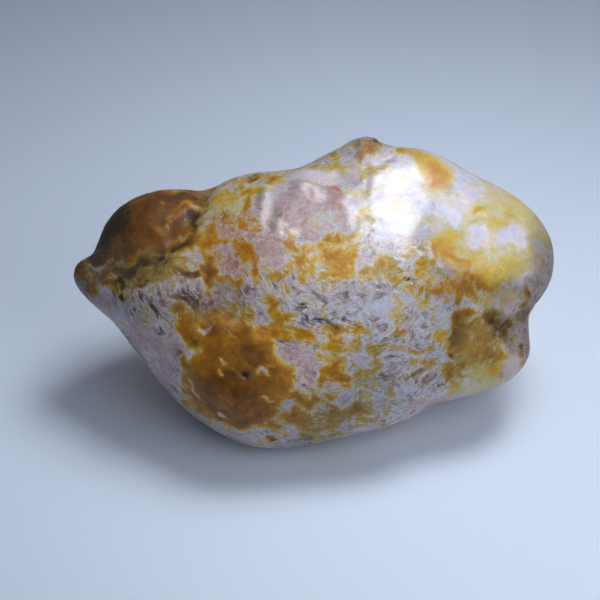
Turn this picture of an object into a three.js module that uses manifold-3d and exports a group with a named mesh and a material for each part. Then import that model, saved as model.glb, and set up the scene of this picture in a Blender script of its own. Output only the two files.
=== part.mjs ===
// A raw botryoidal agate nodule, grown as one piece. It is a cluster of rounded lobes, with a blunt
// beak at one end, a small knob on its back shoulder, and a cleft between the two lobes of its far
// end. Wear has rubbed a few broad, soft facets into it and one flat sole, which it rests on.
//
// Millimetres, +Z up. X runs along the length, with the beak at -X. The origin lies in the plane of
// the sole, below the middle of the nodule's box.
import * as THREE from "three";
import { mergeVertices } from "three/addons/utils/BufferGeometryUtils.js";
import Module from "manifold-3d";

const LENGTH = 54; // beak to far end
const SOLE_DEPTH = 12.9; // from the nodule's heart, which the lobes' places are counted from, to the sole

const LOBE_GRIP = 7; // how tightly the skin follows each lobe: less grip makes wider fillets between them
const FACET_GRIP = 1.1; // how crisply the border of a worn facet turns, per millimetre

const SKIN_DETAIL = 17; // cuts in each edge of the icosahedron that the skin is spread from
const SKIN_STRETCH = new THREE.Vector3(26, 18, 15); // evens out the spread along, across and up
const MERGE_DISTANCE = 1e-5;

const OUTER_REACH = 36; // beyond the skin in every direction
const MARCH_STEP = 0.75;
const HALVINGS = 14;

const UP = new THREE.Vector3(0, 0, 1);

const vector = (x, y, z) => new THREE.Vector3(x, y, z);

// Ellipsoidal lobes, placed from the heart. turn is about Z, in degrees.
const LOBES = [
  { name: "body", centre: vector(0, 0.5, -0.5), radii: vector(15.5, 14, 12.8) },
  { name: "back", centre: vector(-6, 5, 2), radii: vector(10, 8.5, 7.8) },
  { name: "belly", centre: vector(-5.2, -6.3, -4.6), radii: vector(14.5, 10.8, 8.9) },
  { name: "underside", centre: vector(1, 1.5, -5.5), radii: vector(13, 10.5, 7.9) },
  { name: "keel", centre: vector(7.2, -6.2, -3.8), radii: vector(10.5, 9, 6.9) },
  { name: "cheek", centre: vector(-14.5, -3.8, 0.6), radii: vector(8.2, 6.6, 6.5), turn: 20 },
  { name: "brow", centre: vector(-16.6, 4.5, 2.5), radii: vector(8.7, 7.5, 6.7) },
  { name: "beak_ridge", centre: vector(-20.3, -1.2, 1.7), radii: vector(6.4, 4.2, 3.4) },
  { name: "beak_tip", centre: vector(-24.4, -0.9, 2.8), radii: vector(2.4, 2.8, 2.1) },
  { name: "far_upper", centre: vector(16.3, 2.5, 3.2), radii: vector(10.8, 11, 9) },
  { name: "far_lower", centre: vector(16.3, -3.5, -3.2), radii: vector(8.8, 8, 5.6) },
  { name: "shoulder", centre: vector(4.8, 7.6, 7.8), radii: vector(5.8, 5.8, 4.8) },
  { name: "knob", centre: vector(5.9, 9.5, 11.2), radii: vector(2.9, 2.9, 2.5) },
  { name: "back_bump", centre: vector(11.8, 7.5, 8.9), radii: vector(5.5, 5, 4) },
];

// Planes that wear the lobes down, each with the way that it faces and its distance from the heart.
const FACETS = [
  { name: "crown_front", facing: vector(0, -0.3, 0.955), distance: 13.5 },
  { name: "crown_far", facing: vector(0.28, -0.2, 0.94), distance: 14.4 },
  { name: "jaw", facing: vector(-0.7, -0.64, -0.32), distance: 19.1 },
  { name: "face", facing: vector(0.05, -0.8, 0.45), distance: 15.8 },
  { name: "rear_near_beak", facing: vector(-0.5, 0.85, -0.1), distance: 16.5 },
  { name: "rear_far", facing: vector(0.45, 0.85, 0.1), distance: 18.5 },
];

// Grooves pressed into the skin along straight runs, each fading over its width.
const GROOVES = [
  { name: "end_cleft", from: vector(26.5, -2, -2.2), to: vector(19, -8.5, -1.5), width: 2.4, depth: 1.7 },
  { name: "front_valley", from: vector(13, -13, 3), to: vector(13.5, -12, -7), width: 3, depth: 1.2 },
  { name: "brow_back", from: vector(-12.5, 9, 8.5), to: vector(-17, 0.5, 8.2), width: 2.2, depth: 1 },
  { name: "brow_front", from: vector(-17, 0.5, 8.2), to: vector(-24.8, 2.6, 5), width: 2, depth: 1 },
  { name: "knob_neck", from: vector(1, 7, 13), to: vector(7.5, 4.5, 13), width: 1.8, depth: 0.8 },
];

// How far a point lies from a lobe's centre, where 1 is on the lobe's own surface.
function reachInLobe(point, { centre, radii, turn = 0 }) {
  const local = point.clone().sub(centre);
  local.applyAxisAngle(UP, -THREE.MathUtils.degToRad(turn));
  return local.divide(radii).length();
}

// Above 0 inside the nodule and below 0 outside it. Every lobe adds cover and every facet takes some.
function insideness(point) {
  let cover = 0;
  for (const lobe of LOBES) {
    cover += Math.exp(LOBE_GRIP * (1 - reachInLobe(point, lobe)));
  }
  let wear = 0;
  for (const { facing, distance } of FACETS) {
    const above = facing.dot(point) / facing.length() - distance;
    wear += Math.exp(FACET_GRIP * above);
  }
  return 1 - 1 / cover - wear;
}

// How far out the skin lies in one direction: stepping in from outside, then halving the last step.
function skinReach(direction) {
  const point = new THREE.Vector3();
  const isInside = (reach) => insideness(point.copy(direction).multiplyScalar(reach)) > 0;
  let outer = OUTER_REACH;
  while (!isInside(outer - MARCH_STEP)) {
    outer -= MARCH_STEP;
  }
  let inner = outer - MARCH_STEP;
  for (let i = 0; i < HALVINGS; i++) {
    const middle = (inner + outer) / 2;
    if (isInside(middle)) {
      inner = middle;
    } else {
      outer = middle;
    }
  }
  return inner;
}

// How deep all the grooves together press the skin in at a point.
function grooveDepth(point) {
  const nearest = new THREE.Vector3();
  let total = 0;
  for (const { from, to, width, depth } of GROOVES) {
    new THREE.Line3(from, to).closestPointToPoint(point, true, nearest);
    total += depth * Math.exp(-((nearest.distanceTo(point) / width) ** 2));
  }
  return total;
}

// Leaves only positions on a geometry and merges its shared vertices, as a closed solid needs.
function closed(geometry) {
  geometry.deleteAttribute("normal");
  geometry.deleteAttribute("uv");
  return mergeVertices(geometry, MERGE_DISTANCE);
}

// The nodule's closed skin: an icosahedron's vertices, sent out from the heart to the lobes' surface.
function skinGeometry() {
  const skin = closed(new THREE.IcosahedronGeometry(1, SKIN_DETAIL));
  const places = skin.getAttribute("position");
  const direction = new THREE.Vector3();
  const point = new THREE.Vector3();
  for (let i = 0; i < places.count; i++) {
    direction.fromBufferAttribute(places, i).multiply(SKIN_STRETCH).normalize();
    point.copy(direction).multiplyScalar(skinReach(direction));
    point.addScaledVector(direction, -grooveDepth(point));
    places.setXYZ(i, point.x, point.y, point.z);
  }
  return skin;
}

// A block that fills all the space below the sole.
function groundGeometry() {
  const side = 2 * OUTER_REACH;
  const ground = new THREE.BoxGeometry(side, side, side);
  ground.translate(0, 0, -SOLE_DEPTH - side / 2);
  return closed(ground);
}

const wasm = await Module();
wasm.setup();

function toSolid(geometry) {
  const mesh = new wasm.Mesh({
    numProp: 3,
    vertProperties: new Float32Array(geometry.getAttribute("position").array),
    triVerts: new Uint32Array(geometry.index.array),
  });
  return new wasm.Manifold(mesh);
}

function toGeometry(solid) {
  const { vertProperties, triVerts } = solid.getMesh();
  const geometry = new THREE.BufferGeometry();
  geometry.setAttribute("position", new THREE.BufferAttribute(vertProperties, 3));
  geometry.setIndex(new THREE.BufferAttribute(triVerts, 1));
  return geometry;
}

// Moves the origin to the sole, below the middle of the box, and sets the length.
function placed(geometry) {
  geometry.computeBoundingBox();
  const { min, max } = geometry.boundingBox;
  const scale = LENGTH / (max.x - min.x);
  geometry.translate(-(min.x + max.x) / 2, -(min.y + max.y) / 2, -min.z);
  geometry.scale(scale, scale, scale);
  geometry.computeVertexNormals();
  return geometry;
}

const worn = toSolid(skinGeometry()).subtract(toSolid(groundGeometry()));

const agateFinish = new THREE.MeshStandardMaterial({ color: 0xc98d35, roughness: 0.25, metalness: 0 });

const nodule = new THREE.Mesh(placed(toGeometry(worn)), agateFinish);
nodule.name = "agate_nodule";

const agate = new THREE.Group();
agate.add(nodule);

export default agate;
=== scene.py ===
"""The looks of a raw botryoidal agate nodule.

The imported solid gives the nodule's place, size and shape. This script copies it, rounds its flats off,
presses and raises the small features of its skin, wrinkles that skin, and dresses it in blotched
chalcedony. Lengths are in millimetres, and only meshes, lights and the camera are in metres.

Places on the nodule's best side are given on a tilted plane, the Face: u runs along it and v up it.
"""
import logging
import math
from dataclasses import dataclass, replace
from enum import Enum

import bpy
import numpy as np
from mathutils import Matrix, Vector


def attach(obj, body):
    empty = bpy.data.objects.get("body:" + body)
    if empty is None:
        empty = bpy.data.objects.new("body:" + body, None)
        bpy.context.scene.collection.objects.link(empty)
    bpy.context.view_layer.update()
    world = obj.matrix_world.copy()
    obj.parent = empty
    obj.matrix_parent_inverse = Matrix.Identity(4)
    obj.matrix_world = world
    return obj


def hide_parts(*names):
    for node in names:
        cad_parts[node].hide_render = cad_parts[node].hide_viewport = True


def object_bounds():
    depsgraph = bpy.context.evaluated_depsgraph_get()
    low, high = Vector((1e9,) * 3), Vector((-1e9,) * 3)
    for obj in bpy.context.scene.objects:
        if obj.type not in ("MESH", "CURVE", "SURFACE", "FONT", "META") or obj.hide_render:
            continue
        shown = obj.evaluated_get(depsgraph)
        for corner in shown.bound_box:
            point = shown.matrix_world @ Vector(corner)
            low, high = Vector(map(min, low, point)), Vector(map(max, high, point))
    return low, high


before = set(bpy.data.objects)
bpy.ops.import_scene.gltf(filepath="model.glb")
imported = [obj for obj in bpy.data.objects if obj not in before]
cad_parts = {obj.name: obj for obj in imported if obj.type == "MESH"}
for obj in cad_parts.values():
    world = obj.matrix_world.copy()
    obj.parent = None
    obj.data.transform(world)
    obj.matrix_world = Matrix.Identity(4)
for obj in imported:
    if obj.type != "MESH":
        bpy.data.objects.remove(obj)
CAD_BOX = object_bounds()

log = logging.getLogger("agate")

PIECE = "agate_stone"
NODE = "agate_nodule"
BODY = "root"
MM = 0.001
SQUARE_CM_IN_SQUARE_M = 1e4

Triple = tuple[float, float, float]
Array = np.ndarray
Socket = bpy.types.NodeSocket
Feed = Socket | float | str | tuple[float, ...] | bpy.types.Material


def srgb(red: int, green: int, blue: int) -> Triple:
    """Turns a screen colour into a linear one.

    Args:
        red: Red, from 0 to 255.
        green: Green, from 0 to 255.
        blue: Blue, from 0 to 255.

    Returns:
        The linear colour.
    """
    def linear(level: int) -> float:
        """One channel of it."""
        share = level / 255
        return share / 12.92 if share <= 0.04045 else ((share + 0.055) / 1.055) ** 2.4

    return linear(red), linear(green), linear(blue)


def smoothstep(low: float, high: float, values: Array) -> Array:
    """Eases values from 0 at low to 1 at high.

    Args:
        low: Where the result is 0.
        high: Where the result is 1.
        values: The values.

    Returns:
        The eased values.
    """
    share = np.clip((values - low) / (high - low), 0.0, 1.0)
    return share * share * (3.0 - 2.0 * share)


class Mineral(Enum):
    """What blotches the skin, in the order in which it is painted over the lace."""

    STRAW = "straw"  # thin yellow threads
    PEARL = "pearl"  # calm white
    CREAM_AND_HIGHLIGHT = "cream_and_highlight"  # glassy pale yellow, also painted highlight at the crown and on the arc above the oval
    LEMON = "lemon"  # glassy yellow
    HAZEL = "hazel"  # brownish mauve
    AMBER = "amber"
    RESIN_AND_SHADE = "resin_and_shade"  # the darkest amber, laid deeper on the brow as painted shade
    HONEY = "honey"  # gold
    ROSE = "rose"
    CHALK_AND_HIGHLIGHT = "chalk_and_highlight"  # bluish white, also painted highlight on the crown, the oval's rims and the arc above it
    UMBER = "umber"  # dark slits
    OLIVE = "olive"  # weathered yellow
    EMBER = "ember"  # red iron
    # dark green: mossy patches, and painted shade in the valley, at the left end and on some top edges
    MOSS_AND_SHADE = "moss_and_shade"
    BLUSH = "blush"  # turns the whites warm
    FROST_AND_BOUNCE = "frost_and_bounce"  # turns the whites cold, and paints the floor's bluish bounce light on the lower side
    SHADE_FILM = "shade_film"  # painted shade: a dull brown layer darkening the ends, the lower side and some edges
    POLISH = "polish"  # worn smooth
    MATT = "matt"  # weathered dull


@dataclass(frozen=True)
class Tone:
    """What one mineral does to the skin.

    Attributes:
        iron: How much iron colours it: about 0.3 is mauve, 0.43 white, 0.6 golden and 0.8 amber. None
            leaves it as it is.
        calm: How far it stills the lace's fine net, from 0 to 1.
    """

    iron: float | None = None
    calm: float = 0.0


LACE = Tone(0.41)

TONES: dict[Mineral, Tone] = {
    Mineral.STRAW: Tone(0.525, 0.10),
    Mineral.PEARL: Tone(0.47, 0.45),
    Mineral.CREAM_AND_HIGHLIGHT: Tone(0.502, 0.92),
    Mineral.LEMON: Tone(0.56, 0.90),
    Mineral.HAZEL: Tone(0.29, 0.60),
    Mineral.AMBER: Tone(0.735, 0.58),
    # dark enough to darken the brow as painted shade
    Mineral.RESIN_AND_SHADE: Tone(0.90, 0.72),
    Mineral.HONEY: Tone(0.62, 0.50),
    Mineral.ROSE: Tone(0.37, 0.50),
    Mineral.CHALK_AND_HIGHLIGHT: Tone(0.455, 0.55),
    Mineral.OLIVE: Tone(None, 0.10),
    Mineral.EMBER: Tone(None, 0.30),
    Mineral.MOSS_AND_SHADE: Tone(0.90, 0.20),
}


@dataclass(frozen=True)
class Step:
    """A smooth step, for use in node trees.

    Attributes:
        low: The value where it starts.
        high: The value where it ends, which may be below low.
        start: The result at low.
        end: The result at high.
    """

    low: float
    high: float
    start: float = 0.0
    end: float = 1.0


# The painted attributes that the material reads, and how each follows a noise where no patch reaches.
WILD: dict[str, Step] = {
    "iron": Step(0.36, 0.64, 0.36, 0.82),
    "calm": Step(0.42, 0.62, 0.0, 0.6),
    "rose": Step(0.56, 0.66),
    "olive": Step(0.50, 0.60),
    "ember": Step(0.60, 0.68),
    "moss_and_shade": Step(0.60, 0.70),
    "blush": Step(0.45, 0.60),
    "frost_and_bounce": Step(0.50, 0.65, 0.0, 0.7),
    "shade_film": Step(0.50, 0.70, 0.0, 0.6),
    "polish": Step(0.45, 0.65, 0.0, 0.8),
    "umber": Step(0.58, 0.70),
    "matt": Step(0.50, 0.60, 0.0, 0.6),
}


@dataclass(frozen=True)
class Oval:
    """An oval on the nodule's face.

    Attributes:
        u: Its middle along the face.
        v: Its middle up the face.
        across: Half its width.
        up: Half its height.
        turn: How far it is turned, in degrees, counter-clockwise.
    """

    u: float
    v: float
    across: float
    up: float
    turn: float = 0.0

    def reach(self, u: Array, v: Array) -> Array:
        """Measures places against the oval.

        Args:
            u: The places along the face.
            v: The places up the face.

        Returns:
            0 in its middle, 1 on its border and more outside it.
        """
        angle = math.radians(self.turn)
        off_u, off_v = u - self.u, v - self.v
        along = off_u * math.cos(angle) + off_v * math.sin(angle)
        over = off_v * math.cos(angle) - off_u * math.sin(angle)
        return np.hypot(along / self.across, over / self.up)


WIDEST_BORDER = 0.75  # of a patch's narrower half


@dataclass(frozen=True)
class Patch(Oval):
    """A blotch of one mineral.

    Attributes:
        strength: How surely it shows: under about 0.6 only specks of it do.
        soft: How wide its border is, unless it is too small for that.
    """

    strength: float = 1.0
    soft: float = 0.75

    def field(self, u: Array, v: Array) -> Array:
        """Works out how strongly the patch shows: half of its strength on its border, and more inside.

        Args:
            u: The places along the face.
            v: The places up the face.

        Returns:
            The field, from 0 to 1.
        """
        narrow = min(self.across, self.up)
        softness = min(self.soft, WIDEST_BORDER * narrow) / narrow
        return self.strength * smoothstep(1.0 + softness, 1.0 - softness, self.reach(u, v))


@dataclass(frozen=True)
class Swelling(Oval):
    """A rounded boss, or a hollow where its height is below 0.

    Attributes:
        height: How far it stands out.
        rim: How far its border stands out.
        darkness: How dark its middle is painted.
    """

    height: float = 0.0
    rim: float = 0.0
    darkness: float = 0.0


@dataclass(frozen=True)
class Flat(Oval):
    """A worn spot, where the skin is rubbed almost level.

    Attributes:
        facing: The way that it faces.
        wear: How level it is, from 0 to 1.
    """

    facing: Triple = (0.0, 0.0, 1.0)
    wear: float = 0.85


@dataclass(frozen=True)
class Crease:
    """A groove along a broken line on the nodule's face.

    Attributes:
        points: Its corners, each as u and v.
        width: How far to each side it fades.
        depth: How deep it is: below 0 it is a raised ridge.
        darkness: How dark its bottom is painted, from 0 to 1.
    """

    points: tuple[tuple[float, float], ...]
    width: float
    depth: float
    darkness: float = 0.0

    def distance(self, u: Array, v: Array) -> Array:
        """Measures how far places are from the crease's line.

        Args:
            u: The places along the face.
            v: The places up the face.

        Returns:
            The distances.
        """
        nearest = np.full(len(u), np.inf)
        for (start_u, start_v), (end_u, end_v) in zip(self.points, self.points[1:]):
            run_u, run_v = end_u - start_u, end_v - start_v
            along = ((u - start_u) * run_u + (v - start_v) * run_v) / (run_u**2 + run_v**2)
            along = np.clip(along, 0.0, 1.0)
            off = np.hypot(u - start_u - along * run_u, v - start_v - along * run_v)
            nearest = np.minimum(nearest, off)
        return nearest


def patches(*rows: tuple[float, ...]) -> tuple[Patch, ...]:
    """Makes patches.

    Args:
        *rows: For each its u, v, across, up, turn, strength and soft, where the last three may be left out.

    Returns:
        The patches.
    """
    return tuple(Patch(*row) for row in rows)


PATCHES: dict[Mineral, tuple[Patch, ...]] = {
    Mineral.STRAW: patches(
        (-8.5, 6, 6.5, 5.5), (-3, 0.5, 4.5, 3.5), (-11, 0, 4.5, 3), (3, 13.5, 8, 2, 18, 0.8),
        (-8, 11.3, 5, 2.2, 8), (5, 8.5, 1.6, 4, 0, 0.6), (3, -12.5, 6, 4, 15), (5, -5.5, 2.5, 3),
        (9, 2.6, 4.6, 1.8, 0, 0.7),
    ),
    Mineral.PEARL: patches(
        (0.8, 9.8, 6.4, 3.9, 4, 1, 1.5), (-9, 9, 4, 2.4, 10, 0.35, 1.2), (6, 15, 4, 1.8, 12, 1, 0.8),
        (-22.5, -1.8, 4, 1.6, -35, 0.6, 1), (-17, -6.5, 2.4, 4, 30, 0.5, 1),
    ),
    # Glassy pale yellow; the patches on the crown and on the arc above the oval whiten where the highlights
    # fall, as painted highlight.
    Mineral.CREAM_AND_HIGHLIGHT: patches(
        (3.6, 13, 3, 1.6, 8, 1, 1), (9.6, 10.2, 4, 4.6, 0, 0.8, 1), (-5.4, 11.3, 2.4, 0.9, 8, 0.9, 0.8),
        (-8.2, 10.4, 4.2, 1.4, 8, 0.45, 1), (-0.6, 12.6, 3.8, 0.8, 2, 1, 0.8),
        (20, 7, 7.2, 7, 0, 1, 1.2), (15, 13, 5, 2.6, -25, 1, 1), (19.4, -9.6, 4.6, 2, 22, 1, 0.9),
        (21, -1.2, 2.6, 1, 10),
    ),
    Mineral.LEMON: patches(
        (20, 2.6, 3.6, 1.7, -8, 1, 1.4), (3.4, 14, 2.4, 0.8, 16, 0.8, 0.6),
        (-9.8, 9.6, 2.4, 1.2, 8, 0.8, 0.8), (-12.4, 6.4, 1.6, 2.6, -20, 0.5, 0.8),
        (18.6, 8.6, 1.6, 1.4, 0, 0.9, 1.4), (19.4, 7.2, 1.4, 0.9, 0, 0.9, 0.8),
        (22, 10, 2.2, 1.2, -38, 0.4, 1.4), (20.4, 8.4, 2.4, 1.1, -20, 0.7, 1.2),
        (25.2, 4.6, 1.8, 5.6, -12, 0.5, 1.4), (19.6, -9.2, 2.6, 1.3, 25, 0.5, 1.2),
    ),
    Mineral.HAZEL: patches(
        (-6, 3.6, 7.5, 5, 0, 0.3, 2), (-2, -1, 4.5, 3, 0, 0.35, 2), (-14, 0, 4, 3, 0, 0.3, 2),
        (24.2, -5.6, 1.6, 3.6, -8, 1, 1.2), (24, 0.8, 1.6, 1.2, -15, 0.6, 1),
    ),
    Mineral.AMBER: patches(
        (-8.2, -9.4, 6.1, 5.8), (-9.6, -3.4, 3.4, 1.5), (-13.6, -3.8, 1.1, 2.2, 5), (-4.6, -4.4, 2.4, 1),
        (-3.9, -2.2, 0.9, 1.8, 10, 0.9), (-0.8, -4.6, 2.8, 0.6), (2, -6.4, 1, 2.3, 10, 0.8),
        (2.2, -9.2, 1.1, 1.3), (-0.8, -11.7, 3.4, 1), (-1.8, -13.9, 2.2, 1.1), (-3.4, -8.2, 0.5, 1.4),
        (-16.6, 9.4, 4, 2.2, 8), (-19.2, 6.1, 1.9, 2), (-18, 5.2, 2, 1.1, 10),
        (-15.4, 7.2, 1.3, 2.5, -30), (-18.6, 8.2, 2.2, 1.9), (-26.1, 2, 1.1, 0.9),
        (-20.8, 4.1, 2.4, 0.4, 6), (16.6, 0.6, 3.9, 1.2, -5, 0.75, 1), (16.3, -3, 0.9, 1.5),
        (17.9, -5.3, 3.3, 3, 5, 0.62, 1.6), (-11.2, 2.2, 0.9, 1.6, 10, 0.8),
        (13.9, 12.7, 1.3, 2.4, 38, 0.75, 0.9),
    ),
    # Darkest amber; the third patch darkens the brow beyond its own amber, as painted shade.
    Mineral.RESIN_AND_SHADE: patches(
        (-8.4, -10.4, 4.8, 4.4, 0, 0.75, 1.4), (-10.4, -3.6, 4.2, 1.5, 0, 0.9, 0.8),
        (-18.2, 7.8, 4.8, 3.6, 20, 0.95, 1.2), (16.2, -4.4, 0.9, 2, 0, 0.5), (-25.8, 2.4, 1, 0.8),
    ),
    Mineral.HONEY: patches(
        (14.2, 5, 2, 1.2, 8, 1, 0.7), (12.4, 14.8, 1.8, 0.8, -32, 0.9), (6.2, 7.2, 0.7, 0.5, 0, 0.6),
        (5.6, 8.3, 0.8, 0.4, 0, 0.6), (4.6, 6.2, 0.8, 0.5, 0, 0.7), (18.4, 9, 1.3, 0.5, -30, 0.55),
        (20.4, 8.2, 1.6, 0.45, -12, 0.5), (-6.4, 10.8, 2.8, 0.45, 3), (15.6, 3.6, 1.6, 0.8, -5, 0.8),
        (12.4, 0.6, 0.8, 0.7, 0, 0.8), (-7.4, 9.4, 0.8, 0.5, 10, 0.8), (-12.2, 7.6, 0.7, 0.6, 0, 0.8),
        (-11.6, 11.3, 1, 0.5, 20), (-10.3, 10.3, 1.3, 1), (-8.6, 11.7, 0.6, 0.8),
        (-3.6, 13.1, 1.7, 0.8, 12), (-1.6, 13.5, 2.6, 0.6, 6), (2, 13.9, 1.8, 0.7, 15),
        (4, 12.9, 1.2, 0.5, -10), (-8.6, 12.6, 1.6, 0.5, 14), (-12.6, 10.2, 1, 0.6, 20, 0.8),
        (3, 15.1, 1.2, 0.6, 30), (-11.5, 5.4, 2.2, 1.5), (-10.2, 6.4, 1.5, 0.6, 12, 0.85),
        (-9, 5.3, 1.4, 0.35, 5), (-11.3, 8.6, 0.6, 0.5), (-8, 7.4, 1, 1.1), (-6, 6.9, 1, 0.3, -20),
        (-7.2, 4, 0.8, 1.2, 40), (-6.4, 2.4, 0.6, 1.3, 10), (-2.6, 4.7, 0.8, 1.5, 25),
        (2.8, 3.4, 3.2, 2.1), (1.3, 5.1, 2.8, 1, 8), (0, 3.2, 1.6, 1.5), (2.8, 1.5, 1.8, 0.7),
        (-2.6, 2, 1.6, 0.45), (7.4, 2.6, 2.4, 1.4, 0, 0.85), (10.6, 4.2, 0.8, 0.6, 0, 0.7),
        (12.2, 2.6, 0.8, 1.5, -15, 0.8), (14.4, -0.4, 1.8, 1.1, -8), (13, -1.9, 0.6, 0.9, 0, 0.8),
        (5.7, 12.3, 0.4, 1.2), (6.2, 15.2, 1.6, 0.8, 10), (10.8, 15, 1.3, 0.6),
        (11.9, 13.4, 0.5, 0.8, 0, 0.7), (10.7, -0.4, 0.7, 1.1, 15), (11.8, -1.5, 1.3, 0.6, -10),
        (-9.2, 1, 1, 0.4, 6), (-0.8, 1.9, 1.6, 0.9), (5.2, 1.9, 1.6, 1, 0, 0.9),
        (-10, 7.6, 0.8, 1.6, 0, 0.8), (13.4, 1.2, 1.4, 0.9, 0, 0.8), (-18, 1.4, 1.4, 0.5, 20),
        (-13.8, 2.4, 0.8, 0.5), (-20, 3.4, 2, 0.4, 8, 0.8), (-20.6, 1.6, 1.3, 0.35, -10, 0.8),
        (5.6, -4.8, 1.4, 0.7), (6.6, -8.3, 0.7, 1.6, 10), (12.4, -8, 1.6, 0.4, 5), (11, -6.6, 1.2, 0.5),
        (9.9, -4.7, 1, 0.7, -20), (13.9, -4.7, 0.5, 0.7), (12.8, -3.5, 0.5, 0.5), (4.2, -12.7, 1.7, 0.9),
        (2.4, -14.6, 0.5, 1, -20), (5.4, -14.2, 1.3, 0.7, 15), (0.9, -16, 0.8, 0.4),
        (-4, -15.8, 0.9, 0.6), (16, -9.2, 1.6, 1), (19.8, -7.3, 1, 0.5),
    ),
    Mineral.ROSE: patches(
        (-1.7, 9.1, 2.5, 2.5, -6), (1.6, 10.2, 2.3, 1.4, -12), (3.6, 9, 1.1, 2.1, -6),
        (-0.3, 6.8, 2.2, 0.8, -8), (-4.6, 4.3, 1.6, 1.4), (-2.2, -6.9, 1.5, 1.2, 0, 0.7),
        (-0.6, -8.2, 1.1, 1.7, 10, 0.7), (-18, -5.2, 2.9, 1.6, -42), (-16.4, -8.6, 1.3, 2.4, 30, 0.7),
        (-23.6, -1.6, 2.4, 0.9, -38), (5.5, -16, 5.4, 0.6, 17, 0.7), (13, -12.4, 3, 0.8, 14),
        (25.4, 2.4, 1.2, 3.4, -10, 0.4, 1), (23.9, -6, 1.1, 2, -10, 0.7), (-9.2, 2.6, 1.1, 1),
        (-14.8, -6.4, 0.8, 1.8, 10), (8.2, 16.6, 1.2, 0.5, -20), (-9.4, -3, 4.2, 1.3, 0, 0.4, 1),
    ),
    # Bluish white; the patches on the crown, on the oval's left and lower rims and on the arc above it whiten
    # where the highlights fall, as painted highlight.
    Mineral.CHALK_AND_HIGHLIGHT: patches(
        (9.6, 10.2, 3.8, 4.4), (-4.9, 9.1, 0.8, 1.8, 8), (4.4, 12.4, 1.4, 1, 10),
        (-0.4, 12.6, 3.2, 0.7, 2), (-4.6, 11.9, 2.4, 0.35, 6), (3, 12, 1.2, 0.3, -35),
        (-3.1, 7, 1.7, 0.6, -28), (1.7, 7.7, 1.7, 1.3, 10, 0.8), (7.6, 14.5, 1.7, 0.45, 12),
        (9.2, 15.6, 1, 0.4, 25), (6.7, 16.9, 0.7, 0.3, -10), (3.9, 15.2, 0.6, 1, -30),
        (2.4, 12.6, 2.4, 0.8, -8), (5, 14, 1.6, 0.35, 20), (17, 11.3, 2.9, 1.6, 6, 1, 1),
        (16.8, 13, 0.9, 0.5), (22.4, 5.8, 1.7, 1.3, -20, 1, 0.9), (17.9, 5.6, 1.6, 1.6, -20, 1, 0.9),
        (15.2, 7.9, 2.1, 1.1, -5, 1, 0.8), (14.7, 2.1, 1.2, 0.5, -10), (11, 2.6, 0.8, 0.6),
        (12.8, -0.6, 0.5, 1.2), (11.2, 1, 1.2, 0.5, 10), (17.4, -1.4, 1.1, 0.5), (8.2, -1.6, 3.4, 1, 5),
        (4.1, -1.3, 0.8, 0.6), (14.4, -3.1, 1, 1.2, 10), (13.6, -6.8, 0.9, 0.8), (14.4, -7.6, 0.4, 0.7),
        (16.8, -10.3, 0.8, 0.5), (17.4, -8.6, 0.9, 0.6), (21.2, -8.9, 0.6, 0.7), (-5.4, -0.6, 0.4, 1.5),
        (-15.8, 2.6, 2.4, 1.5, 15), (-14.4, 4.2, 1.2, 0.8, 30), (-18.5, 2.6, 0.7, 0.7, 30),
        (-10.8, 7.5, 0.9, 0.3), (-20.2, -3.2, 1.7, 0.7, -5), (-22.8, -0.9, 2.8, 0.7, -36),
        (-21.6, -1.6, 1.6, 0.4, -10), (-11.7, -4.2, 0.9, 0.45), (-4.6, -11.8, 0.9, 0.25, 14),
        (-9.7, -8.8, 0.3, 0.3), (-9.2, -7.5, 0.4, 0.2), (-5.1, -8.6, 0.8, 0.3, -28),
        (-10, -13.5, 0.5, 0.25, -20), (-12.9, -10.4, 0.3, 1, 20), (-13.2, -7.2, 0.3, 0.9, 30),
        (-2.3, -12.8, 0.5, 0.8, -15), (-1.1, -10.6, 1, 0.5), (3.2, -11.9, 0.6, 0.7),
        (2.6, -10.6, 0.9, 0.4, -15), (9.8, -10.8, 3, 0.9, 12), (5.4, -7.3, 0.9, 1.2),
        (4.5, -13.8, 0.5, 0.5), (5.5, 2.9, 0.45, 1.6), (-3.3, 3.2, 1.4, 0.6, 10),
        (-16.9, 7, 1.2, 0.4, 12, 0.5), (-15.3, 8, 0.9, 0.35, 30, 0.5), (-16.7, 9.7, 0.5, 0.3, 10),
        (-14.2, 9.6, 0.9, 0.25, 30, 0.5), (-13.2, 10.3, 0.9, 0.25, 25, 0.7),
    ),
    Mineral.UMBER: patches(
        (-19, -1.6, 1.5, 0.9, -30), (-17.4, -2.6, 1.6, 0.6, -45), (-15.7, -3, 0.35, 0.5, 10),
        (-16.3, -3.9, 0.8, 0.3), (-22.1, 0, 1.4, 0.4, -35), (-20.9, -4.6, 1.1, 0.35, -45),
        (-23.4, 2.3, 0.9, 0.4, -25), (-15, -8.9, 0.6, 0.6, -20), (-14, -7, 0.6, 0.3, -30),
        (-9.4, 8.3, 0.8, 0.6, 30), (-11.2, 7.9, 0.5, 0.25), (-16.1, 8.1, 0.7, 0.2, 28),
        (-16.4, 3.2, 1.2, 0.5, 20, 0.8), (-14.6, 1.8, 1, 0.4, -10, 0.8), (-22.6, 1.2, 2, 0.7, -10, 0.7),
        (-6, 12.4, 1, 0.7, 0, 0.8), (1.2, -3.3, 0.7, 0.35), (-2.9, -5.6, 1, 0.25),
        (-1.2, -9.8, 0.6, 0.3), (3.9, -9.2, 0.3, 0.5), (-4.3, 1.3, 0.9, 0.3, 5), (-2.6, 1.2, 0.3, 0.5),
        (11, -9.2, 1.1, 0.3, 32), (7.3, -3.4, 0.7, 0.25), (8.4, -5.2, 0.8, 0.35, -10), (9, -7, 0.8, 0.3),
        (13.2, -5.4, 0.5, 0.5), (13.8, -10.6, 0.6, 0.3, 20), (-1.2, -16.5, 1.1, 0.3, 10),
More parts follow.
